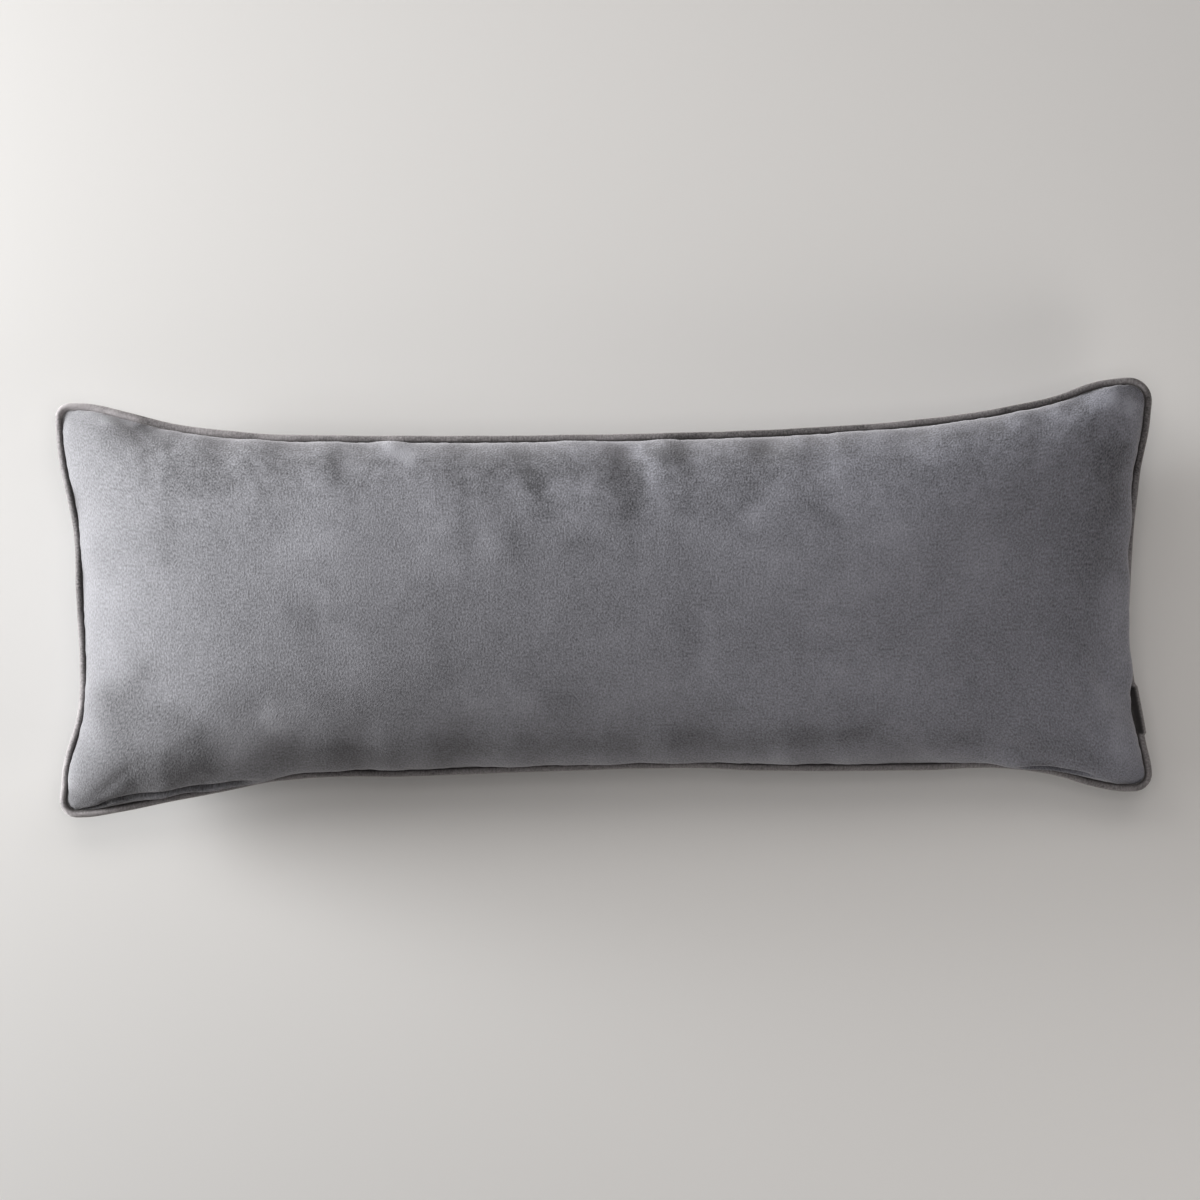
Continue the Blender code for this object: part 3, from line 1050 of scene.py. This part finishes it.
    def nap(self, grid: ClothGrid, points: np.ndarray, panel: Panel) -> np.ndarray:
        """Shade painted into the nap at each place: random patches, the strokes,
        which hold brushed nap with painted shade and light, and painted shade
        along the rim.

        Args:
            grid: Places over the panel.
            points: Its points.
            panel: Which panel it is.

        Returns:
            Shades about zero, below it darker and above it lighter.
        """
        x, y = np.meshgrid(grid.u, grid.v)
        seed = self.upper_seed if panel is Panel.UPPER else self.lower_seed
        patches = np.zeros_like(x)
        for layer, patch in enumerate(PATCHES):
            hills = lumps(x, y, (patch.length, patch.width), seed + layer)
            patches = patches + patch.share * hills
        ruffle = self.ruffle(grid)
        shade = patches * (self.calm_nap + (self.ruffled_nap - self.calm_nap) * ruffle)
        if panel is Panel.UPPER:
            # The strokes add brushed nap together with painted shade and painted light.
            shade = shade + NapAndPaintedShading().shade(points) * (1 + self.patchy_marks * patches)
        # Painted shade darkening the cloth beside the seam, widest along the top.
        edge = np.minimum(grid.distance[Side.BOTTOM], grid.distance[Side.LEFT]) / self.rim_width
        edge = np.minimum(edge, grid.distance[Side.TOP] / self.top_rim_width)
        return shade + self.rim_painted_shade * np.exp(-(edge**2))

    def sewn(
        self, name: str, grid: ClothGrid, shapes: dict[Panel, np.ndarray]
    ) -> bpy.types.Object:
        """Join both panels along the seam into one closed mesh.

        The upper panel keeps the seam's points, and the lower panel's edge
        uses them too.

        Args:
            name: Name of the object.
            grid: Places over each panel.
            shapes: The points of each panel.

        Returns:
            The object, its faces pointing outwards.
        """
        rows, columns = grid.s.shape
        inside = self.inside(grid)
        upper = np.arange(rows * columns).reshape(rows, columns)
        lower = upper.copy()
        lower[inside] = upper.size + np.arange(inside.sum())
        points = self.gathered(grid, shapes)
        cloth = np.stack(np.meshgrid(grid.u, grid.v), axis=-1) * MM
        faces, places = [], []
        for panel, corner in ((Panel.UPPER, upper), (Panel.LOWER, lower)):
            order = ((0, 0), (0, 1), (1, 1), (1, 0))
            if panel is Panel.LOWER:
                order = order[::-1]
            cuts = [
                (slice(down, rows - 1 + down), slice(over, columns - 1 + over))
                for down, over in order
            ]
            faces.append(np.stack([corner[cut].ravel() for cut in cuts], axis=1))
            beside = 0.0 if panel is Panel.UPPER else grid.v[-1] * MM
            place = np.stack([cloth[cut].reshape(-1, 2) for cut in cuts], axis=1)
            places.append(place + np.array([0.0, beside]))
        return add_mesh(name, points, np.concatenate(faces), np.concatenate(places))

    def inside(self, grid: ClothGrid) -> np.ndarray:
        """Which places of a grid are not on the seam.

        Args:
            grid: Places over a panel.

        Returns:
            True or False for each place.
        """
        inside = np.zeros(grid.s.shape, bool)
        inside[1:-1, 1:-1] = True
        return inside

    def gathered(self, grid: ClothGrid, values: dict[Panel, np.ndarray]) -> np.ndarray:
        """Values of both panels in the order of the sewn mesh's points.

        Args:
            grid: Places over each panel.
            values: A value, or a row of values, for each place of each panel.

        Returns:
            The upper panel's values, and then those inside the lower panel.
        """
        inside = self.inside(grid)
        upper = values[Panel.UPPER].reshape((inside.size,) + values[Panel.UPPER].shape[2:])
        return np.concatenate([upper, values[Panel.LOWER][inside]])

    def formed(self, grid: ClothGrid, panel: Panel) -> np.ndarray:
        """A panel swollen by its filling, with its puckers and folds."""
        shape = self.swollen(grid, panel)
        return shape + self.normals(shape, panel) * self.relief(grid, panel)[..., None]

    def puffed(self) -> tuple[ClothGrid, dict[Panel, np.ndarray]]:
        """Blow up a bag of loose cloth, held at the seam.

        The bag is the filled form on a coarse grid.  Its cloth is a little
        longer beside the seam than the seam itself, so the pressure draws it
        into natural puckers.  How far each point moves is capped.

        Returns:
            The coarse grid, and how far each panel's points moved.
        """
        grid = self.grid(self.bag_rows)
        shapes = {panel: self.formed(grid, panel) for panel in Panel}
        bag = self.sewn("bag", grid, shapes)
        start = self.gathered(grid, shapes)
        ease = fade(grid.nearest, self.bag_ease_reach)
        weights = np.round(self.gathered(grid, dict.fromkeys(Panel, ease)), 2)
        seam_points = ~self.inside(grid).ravel()
        held = bag.vertex_groups.new(name="seam")
        held.add(np.flatnonzero(seam_points).tolist(), 1.0, "REPLACE")
        loose = bag.vertex_groups.new(name="ease")
        for level in np.unique(weights):
            loose.add(np.flatnonzero(weights == level).tolist(), float(level), "REPLACE")
        cloth = bag.modifiers.new("Cloth", "CLOTH")
        settings = cloth.settings
        for name, value in BAG_CLOTH.items():
            setattr(settings, name, value)
        settings.vertex_group_mass = held.name
        settings.vertex_group_shrink = loose.name
        settings.shrink_max = -self.bag_ease
        settings.use_pressure = True
        settings.uniform_pressure_force = self.bag_pressure
        settings.effector_weights.gravity = 0.0
        cloth.collision_settings.use_self_collision = False
        cloth.point_cache.frame_end = self.bag_frames
        for frame in range(1, self.bag_frames + 1):
            bpy.context.scene.frame_set(frame)
        evaluated = bag.evaluated_get(bpy.context.evaluated_depsgraph_get())
        ended = np.empty(start.size, np.float32)
        evaluated.data.vertices.foreach_get("co", ended)
        moved = ended.reshape(-1, 3) / MM - start
        bpy.data.objects.remove(bag, do_unlink=True)
        bpy.context.scene.frame_set(1)
        length = np.linalg.norm(moved, axis=1, keepdims=True)
        capped = self.bag_cap * np.tanh(length / self.bag_cap)
        moved = moved * (capped / np.maximum(length, TINY_LENGTH))
        upper = moved[: grid.s.size].reshape(grid.s.shape + (3,))
        lower = upper.copy()
        lower[self.inside(grid)] = moved[grid.s.size :]
        return grid, {Panel.UPPER: upper, Panel.LOWER: lower}

    def freedom(self, grid: ClothGrid) -> np.ndarray:
        """Share of the simulated motion that is kept, which is little at the corners.

        Args:
            grid: Places over the panel.

        Returns:
            A share for each place.
        """
        near_end = np.minimum(grid.distance[Side.LEFT], grid.distance[Side.RIGHT])
        near_side = np.minimum(grid.distance[Side.TOP], grid.distance[Side.BOTTOM])
        from_corner = np.hypot(near_end, near_side)
        return 1 - self.bag_corner_damping * fade(from_corner, self.bag_corner_reach)

    def build(self, shift: np.ndarray) -> bpy.types.Object:
        """Make the body's mesh, with its cloth places, nap, painted shading
        and the painted shade of its groove and creases.

        Args:
            shift: What centres the part over the origin.

        Returns:
            The piece.
        """
        grid = self.grid(self.rows)
        moved: dict[Panel, np.ndarray] = {}
        bag, moved = self.puffed()
        for panel in Panel:
            rows = hermite(bag.v, moved[panel], grid.v)
            columns = hermite(bag.u, rows.swapaxes(0, 1), grid.u)
            moved[panel] = columns.swapaxes(0, 1) * self.freedom(grid)[..., None]
        shapes, shades, cools = {}, {}, {}
        depth, crease_shade = self.creases(grid)
        for panel in Panel:
            shape = self.formed(grid, panel) + moved.get(panel, 0.0)
            small = self.scallops(grid)
            if panel is Panel.UPPER:
                small = small - depth
            shape = shape + self.normals(shape, panel) * small[..., None]
            shape[..., 2] = np.maximum(shape[..., 2], 0.0)
            shapes[panel] = shape + shift
            shades[panel] = self.nap(grid, shape, panel)
            cools[panel] = self.cool(shape)
        piece = self.sewn(self.name, grid, shapes)
        # Painted shade: the cloth beside the seam is coloured near black, fainter where the
        # window shines in.
        groove = np.exp(-((grid.nearest / self.groove_shade_width) ** 2)) * groove_shade_share(grid.s, grid.t)
        ruffle = self.ruffle(grid)
        marks = {
            "nap": shades,
            "cool": cools,
            "ruffle": dict.fromkeys(Panel, ruffle),
            # The groove's and the creases' painted shade share one attribute.
            "groove": {Panel.UPPER: np.maximum(groove, crease_shade), Panel.LOWER: groove},
        }
        write_marks(piece, {name: self.gathered(grid, marks[name]) for name in marks})
        return piece


@dataclass
class CordedPiping:
    """The piping in the seam, a covered cord with a lapped join."""

    seam: Seam
    name: str = "corded_piping"
    radius: float = 3.2
    gap: float = 0.5
    tuck: float = 0.3
    lap_radius: float = 4.3
    lap_from: float = -0.755
    lap_to: float = -0.508
    lap_ramp: float = 1.0
    lap_out: float = -0.5
    unevenness: float = 0.45
    # Painted shade on the tube's inner side: the angles where it starts and is full, plain and at
    # the lapped join.
    groove: tuple[float, float] = (0.10, 0.95)
    lap_groove_shade: tuple[float, float] = (-0.65, -0.10)
    samples: int = 600
    around: int = 24
    station: float = 2.2

    def frame(self) -> tuple[np.ndarray, np.ndarray, np.ndarray, np.ndarray, np.ndarray]:
        """Fine points of the seam once round, with the way out of it at each.

        Returns:
            The points, the level directions outwards, how far each lies in
            the lapped join, how strong the groove's painted shade is and the
            travel along the seam.
        """
        points, s, t = self.seam.ring(self.samples)
        forward = unit(np.roll(points, -1, axis=0) - np.roll(points, 1, axis=0))
        outward = unit(np.stack([forward[:, 1], -forward[:, 0], np.zeros(len(s))], axis=1))
        ramp = self.lap_ramp * 2 / self.seam.width
        into = np.clip((t - self.lap_from) / ramp, 0, 1)
        out_of = np.clip((self.lap_to - t) / ramp, 0, 1)
        lap = np.where(s == 1, into * out_of, 0.0)
        steps = np.linalg.norm(np.diff(points, axis=0, append=points[:1]), axis=1)
        travel = np.concatenate([[0.0], np.cumsum(steps)[:-1]])
        return points, outward, lap, groove_shade_share(s, t), travel

    def radii(self, lap: np.ndarray) -> np.ndarray:
        """Radii of the piping, thicker at its lapped join."""
        return self.radius + (self.lap_radius - self.radius) * lap

    def shift(self) -> np.ndarray:
        """Work out the shift that centres the part over the origin.

        Returns:
            What to add to a point: the level middle of the solids' piping, reversed.
        """
        points, outward, lap, _, _ = self.frame()
        middle = points + outward * (self.radii(lap) + self.gap)[:, None]
        centre = (middle.max(axis=0) + middle.min(axis=0)) / 2
        return np.array([-centre[0], -centre[1], 0.0])

    def build(self, shift: np.ndarray) -> bpy.types.Object:
        """Make the piping's tube, a circle carried once round outside the seam.

        Args:
            shift: What centres the part over the origin.

        Returns:
            The piece.
        """
        points, outward, lap, share, travel = self.frame()
        total = travel[-1] + np.linalg.norm(points[-1] - points[0])
        sway = self.unevenness * ripple(travel, PUCKERS)
        middle = points + outward * (self.radii(lap) - self.tuck + self.lap_out * lap)[:, None]
        middle = middle + sway[:, None] * np.array([0.0, 0.0, 1.0]) + outward * sway[:, None] / 2
        count = round(total / self.station)
        wanted = np.arange(count) * total / count
        columns = np.column_stack([middle, outward, lap, share])
        rows = np.column_stack(
            [np.interp(wanted, travel, column, period=total) for column in columns.T]
        )
        middle, outward, lap, share = rows[:, :3], unit(rows[:, 3:6]), rows[:, 6], rows[:, 7]
        radii = self.radii(lap)
        forward = unit(np.roll(middle, -1, axis=0) - np.roll(middle, 1, axis=0))
        outward = unit(outward - forward * (outward * forward).sum(axis=1)[:, None])
        upward = np.cross(outward, forward)
        angle = np.arange(self.around) * 2 * math.pi / self.around
        level, rise = np.cos(angle)[:, None], np.sin(angle)[:, None]
        circle = level * outward[:, None] + rise * upward[:, None]
        tube = middle[:, None] + circle * radii[:, None, None]
        index = np.arange(tube.shape[0] * self.around).reshape(-1, self.around)
        onward = np.roll(index, -1, axis=0)
        faces = np.stack(
            [index, np.roll(index, -1, axis=1), np.roll(onward, -1, axis=1), onward], axis=-1
        )
        u = np.stack([wanted, wanted + total / count], axis=1)
        v = np.arange(self.around + 1) * 2 * math.pi * self.radius / self.around
        corners = ((0, 0), (0, 1), (1, 1), (1, 0))
        uv = np.empty(faces.shape + (2,))
        for corner, (ahead, over) in enumerate(corners):
            uv[:, :, corner, 0] = u[:, ahead][:, None] * MM
            uv[:, :, corner, 1] = v[over : self.around + over][None, :] * MM
        piece = add_mesh(self.name, (tube + shift).reshape(-1, 3), faces.reshape(-1, 4), uv)
        # Painted shade along the tube's inner side, in the groove against the body.
        start, full = (
            plain + (lapped - plain) * lap[:, None]
            for plain, lapped in zip(self.groove, self.lap_groove_shade)
        )
        inward = (-level[:, 0] - start) / (full - start)
        groove = fade(1 - inward, 1.0) * share[:, None]
        # The strokes also mark the piping: painted light at the left top, painted shade at the
        # right, with some brushed nap.
        write_marks(piece, {"groove": groove, "nap": NapAndPaintedShading().shade(tube)})
        return piece


class Value:
    """A number that varies over a surface, with operators that add Math nodes."""

    def __init__(self, desk: "ShaderDesk", socket: bpy.types.NodeSocket) -> None:
        """Keep the desk that the nodes are made on, and the socket."""
        self.desk = desk
        self.socket = socket

    def _math(
        self, operation: str, first: Number, second: Number, clamp: bool = False
    ) -> "Value":
        """Add a Math node.

        Args:
            operation: What the node works out.
            first: Its first number.
            second: Its second number.
            clamp: Whether the result is kept from 0 to 1.

        Returns:
            The node's result.
        """
        settings = {"operation": operation, "use_clamp": clamp}
        made = self.desk.node("ShaderNodeMath", settings, {0: first, 1: second})
        return Value(self.desk, made.outputs[0])

    def __add__(self, other: Number) -> "Value":
        """This value and another."""
        return self._math("ADD", self, other)

    def __radd__(self, other: Number) -> "Value":
        """Another value and this one."""
        return self._math("ADD", other, self)

    def __sub__(self, other: Number) -> "Value":
        """This value less another."""
        return self._math("SUBTRACT", self, other)

    def __rsub__(self, other: Number) -> "Value":
        """Another value less this one."""
        return self._math("SUBTRACT", other, self)

    def __mul__(self, other: Number) -> "Value":
        """This value times another."""
        return self._math("MULTIPLY", self, other)

    def __rmul__(self, other: Number) -> "Value":
        """Another value times this one."""
        return self._math("MULTIPLY", other, self)

    def clamped(self) -> "Value":
        """This value kept from 0 to 1."""
        return self._math("ADD", self, 0.0, clamp=True)


Number = Union[float, Value]
Paint = Union[Triple, bpy.types.NodeSocket]


class ShaderDesk:
    """A material's node tree, with the one method that makes its nodes."""

    def __init__(self, name: str) -> None:
        """Make the material with its shader and output.

        Args:
            name: Name of the material.
        """
        self.material = bpy.data.materials.new(name)
        self.material.use_nodes = True
        self.tree = self.material.node_tree
        self.shader = self.tree.nodes["Principled BSDF"]

    def feed(self, socket: bpy.types.NodeSocket, value: Any) -> None:
        """Link a value to a socket, or set the socket's number.

        Args:
            socket: The socket that is fed.
            value: A value, another socket or a plain number or colour.
        """
        if isinstance(value, Value):
            value = value.socket
        if isinstance(value, bpy.types.NodeSocket):
            self.tree.links.new(value, socket)
        else:
            socket.default_value = value

    def node(
        self,
        kind: str,
        settings: Mapping[str, Any] | None = None,
        inputs: Mapping[Union[str, int], Any] | None = None,
    ) -> bpy.types.Node:
        """Make a node.

        Args:
            kind: The node's type.
            settings: Its settings, such as a Math node's operation.
            inputs: Numbers or links of its sockets, by name or place.

        Returns:
            The node.
        """
        made = self.tree.nodes.new(kind)
        for name, value in (settings or {}).items():
            setattr(made, name, value)
        for key, value in (inputs or {}).items():
            self.feed(made.inputs[key], value)
        return made

    def noise(self, place: bpy.types.NodeSocket, per_metre: Triple, detail: float) -> Value:
        """Even noise about zero.

        Args:
            place: Coordinates in metres.
            per_metre: Lumps to a metre along each axis.
            detail: How many finer layers it has.

        Returns:
            A value from about -0.5 to 0.5.
        """
        scaled = self.node("ShaderNodeMapping", inputs={"Vector": place, "Scale": per_metre})
        made = self.node(
            "ShaderNodeTexNoise",
            inputs={"Vector": scaled.outputs[0], "Scale": 1.0, "Detail": detail},
        )
        return Value(self, made.outputs[0]) - 0.5

    def attribute(self, name: str) -> Value:
        """A number that the mesh's points carry, or zero where they carry none."""
        made = self.node("ShaderNodeAttribute", {"attribute_name": name})
        return Value(self, made.outputs["Fac"])

    def mix(
        self, factor: Number, first: Paint, second: Paint, blend: str = "MIX"
    ) -> bpy.types.NodeSocket:
        """Colour between two colours, or the first one blended with the second.

        Args:
            factor: Share of the second colour.
            first: The first colour.
            second: The second colour.
            blend: How they are mixed.

        Returns:
            The colour's socket.
        """
        ends = [(*end, 1.0) if isinstance(end, tuple) else end for end in (first, second)]
        made = self.node(
            "ShaderNodeMix",
            {"data_type": "RGBA", "blend_type": blend},
            {0: factor, 6: ends[0], 7: ends[1]},
        )
        return made.outputs[2]


@dataclass(frozen=True)
class SuedeFinish:
    """A suede with a short nap: its colours, its grain and its sheen."""

    name: str
    color: Triple
    # Painted tint for the light's colour: neutral where the window light falls, cooler away from
    # it.
    neutral_tint: Triple = (1.0, 1.0, 1.0)
    cool_tint: Triple = (1.0, 1.0, 1.0)
    tone_range: float = 0.75
    # Colour of the painted shade in the groove and the creases.
    groove: Triple = (0.012, 0.011, 0.012)
    roughness: float = 0.92
    specular: float = 0.2
    sheen: float = 0.5
    sheen_roughness: float = 0.55
    sheen_tint: Triple = (0.97, 0.955, 1.0)
    flecks: Triple = (640.0, 430.0, 1.0)
    fuzz: Triple = (110.0, 85.0, 1.0)
    clouds: Triple = (17.0, 13.0, 1.0)
    fleck_detail: float = 2.0
    fuzz_detail: float = 3.0
    cloud_detail: float = 4.0
    fleck_share: float = 1.80
    fuzz_share: float = 0.37
    ruffled_flecks: float = 0.45
    ruffled_fuzz: float = 2.3
    cloud_share: float = 0.35
    bump: float = 0.85
    bump_depth: float = 0.55
    bump_fuzz: float = 0.5

    def make(self) -> bpy.types.Material:
        """Make the material.

        The tone is the sum of the painted marks, soft clouds, fuzz and flecks;
        the marks hold brushed nap together with painted shade and painted light.
        It is a share of the nap's own brightness, darker below zero and
        lighter above it.  A faint painted tint stands in for the light's colour:
        nearly neutral at the window end, bluer away from it.  The painted shade
        of the groove and the creases, near black, lies over both.

        Returns:
            The material.
        """
        desk = ShaderDesk(self.name)
        cloth = desk.node("ShaderNodeUVMap", {"uv_map": "cloth"}).outputs[0]
        fleck = desk.noise(cloth, self.flecks, self.fleck_detail)
        fuzz = desk.noise(cloth, self.fuzz, self.fuzz_detail)
        cloud = desk.noise(cloth, self.clouds, self.cloud_detail)
        ruffle = desk.attribute("ruffle")
        tone = fleck * self.fleck_share * (ruffle * self.ruffled_flecks + 1.0)
        tone = tone + fuzz * self.fuzz_share * (ruffle * self.ruffled_fuzz + 1.0)
        tone = tone + cloud * self.cloud_share + desk.attribute("nap")
        tone = (tone * (0.5 / self.tone_range) + 0.5).clamped()
        relief = fleck + fuzz * self.bump_fuzz
        bump = desk.node(
            "ShaderNodeBump",
            inputs={"Strength": self.bump, "Distance": self.bump_depth * MM, "Height": relief},
        )
        dark = tuple(channel * (1 - self.tone_range) for channel in self.color)
        light = tuple(channel * (1 + self.tone_range) for channel in self.color)
        color = desk.mix(tone, dark, light)
        # Painted tint for the light's colour: neutral at the window end, cooler away from it.
        tint = desk.mix(desk.attribute("cool"), self.neutral_tint, self.cool_tint)
        color = desk.mix(1.0, color, tint, "MULTIPLY")
        # Painted shade of the groove and the creases, laid over the nap's colour.
        color = desk.mix(desk.attribute("groove"), color, self.groove)
        sockets = desk.shader.inputs
        desk.feed(sockets["Base Color"], color)
        desk.feed(sockets["Normal"], bump.outputs[0])
        sockets["Roughness"].default_value = self.roughness
        sockets["Specular IOR Level"].default_value = self.specular
        sockets["Sheen Weight"].default_value = self.sheen
        sockets["Sheen Roughness"].default_value = self.sheen_roughness
        sockets["Sheen Tint"].default_value = (*self.sheen_tint, 1.0)
        return desk.material


GREY_SUEDE = SuedeFinish(
    "grey_suede",
    (0.198, 0.199, 0.220),
    # Painted tints for the light's colour at the window end and away from it.
    neutral_tint=(1.011, 1.015, 0.972),
    cool_tint=(0.969, 0.989, 1.045),
)
PIPING_SUEDE = SuedeFinish(
    "piping_suede",
    (0.205, 0.194, 0.200),
    sheen_tint=(1.0, 0.96, 0.93),
    cloud_share=0.2,
)


AIM = Vector((0.0, 0.0, 0.0))
DAYLIGHT: Triple = (1.0, 1.0, 1.0)
WARM: Triple = (1.0, 0.955, 0.92)


@dataclass(frozen=True)
class Lamp:
    """A soft rectangular light: where it hangs, its size, power and colour."""

    name: str
    place: Triple
    size: tuple[float, float]
    power: float
    color: Triple

    def hang(self) -> None:
        """Hang the light and point it at the middle of the floor."""
        light = bpy.data.lights.new(self.name, "AREA")
        light.shape = "RECTANGLE"
        light.size, light.size_y = self.size
        light.energy = self.power
        light.color = self.color
        made = add_object(self.name, light)
        made.visible_camera = False
        made.location = self.place
        way = AIM - Vector(self.place)
        made.rotation_euler = way.to_track_quat("-Z", "Y").to_euler()


@dataclass
class Studio:
    """The pale floor, the soft light and the camera, in metres."""

    floor_size: float = 14.0
    floor_color: Triple = (0.80, 0.795, 0.785)
    floor_roughness: float = 0.85
    floor_specular: float = 0.1
    world_color: Triple = (0.80, 0.78, 0.76)
    world_strength: float = 0.03
    lamps: tuple[Lamp, ...] = (
        Lamp("window", (-3.11, 0.63, 0.51), (1.60, 1.00), 176.0, DAYLIGHT),
        Lamp("near_window", (-1.52, 0.41, 0.30), (0.62, 0.56), 12.2, DAYLIGHT),
        Lamp("back_wall", (-0.52, 0.89, 1.47), (0.70, 0.70), 3.3, WARM),
        Lamp("side_wall", (0.52, 0.89, 1.47), (0.70, 0.70), 2.3, WARM),
        Lamp("ceiling", (0.03, 0.0, 1.80), (0.70, 0.70), 4.3, WARM),
        Lamp("high_wall", (0.0, 0.96, 2.63), (1.40, 1.40), 5.8, WARM),
        Lamp("bounce", (1.10, -1.10, 0.90), (0.70, 0.70), 5.6, WARM),
    )
    camera_height: float = 2.43
    view_width: float = 0.9864
    seam_plane: float = 0.066
    camera_centre: tuple[float, float] = (-0.0037, -0.0020)
    camera_roll: float = math.radians(-1.42)
    sensor: float = 36.0

    def make_floor(self) -> None:
        """Lay the floor."""
        half = self.floor_size / 2
        data = bpy.data.meshes.new("floor")
        corners = [(-half, -half, 0), (half, -half, 0), (half, half, 0), (-half, half, 0)]
        data.from_pydata(corners, [], [(0, 1, 2, 3)])
        desk = ShaderDesk("pale_floor")
        sockets = desk.shader.inputs
        sockets["Base Color"].default_value = (*self.floor_color, 1.0)
        sockets["Roughness"].default_value = self.floor_roughness
        sockets["Specular IOR Level"].default_value = self.floor_specular
        data.materials.append(desk.material)
        floor = add_object("floor", data)

    def make_light(self) -> None:
        """Hang the lamps and light the world evenly."""
        for lamp in self.lamps:
            lamp.hang()
        world = bpy.data.worlds.new("studio")
        world.use_nodes = True
        sky = world.node_tree.nodes["Background"]
        sky.inputs["Color"].default_value = (*self.world_color, 1.0)
        sky.inputs["Strength"].default_value = self.world_strength
        bpy.context.scene.world = world
        bpy.context.scene.view_settings.view_transform = "Standard"

    def make_camera(self) -> None:
        """Hang the camera straight above, turned as the photograph is."""
        data = bpy.data.cameras.new("camera")
        data.sensor_width = self.sensor
        distance = self.camera_height - self.seam_plane
        data.lens = self.sensor * distance / self.view_width
        made = add_object("camera", data)
        made.location = (*self.camera_centre, self.camera_height)
        made.rotation_euler = (0.0, 0.0, self.camera_roll)
        bpy.context.scene.camera = made

    def build(self) -> None:
        """Make the floor, the light and the camera."""
        self.make_floor()
        self.make_light()
        self.make_camera()


def dress(piece: bpy.types.Object, material: bpy.types.Material, node: str) -> None:
    """Give a piece its material and its place on the body, and hide the CAD node that it stands
    for.

    Args:
        piece: The finished piece.
        material: Its material.
        node: The CAD node that it stands for.
    """
    piece.data.materials.append(material)
    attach(piece, BODY)
    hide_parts(node)


def main() -> None:
    """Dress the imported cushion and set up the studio."""
    logging.basicConfig(level=logging.INFO, format="%(message)s")
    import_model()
    seam = Seam()
    piping = CordedPiping(seam)
    shift = piping.shift()

    body = FilledBody(seam).build(shift)
    dress(body, GREY_SUEDE.make(), "cushion")
    log.info("%s: %d faces", body.name, len(body.data.polygons))

    cord = piping.build(shift)
    dress(cord, PIPING_SUEDE.make(), "piping")
    log.info("%s: %d faces", cord.name, len(cord.data.polygons))

    Studio().build()


if __name__ == "__main__":
    main()
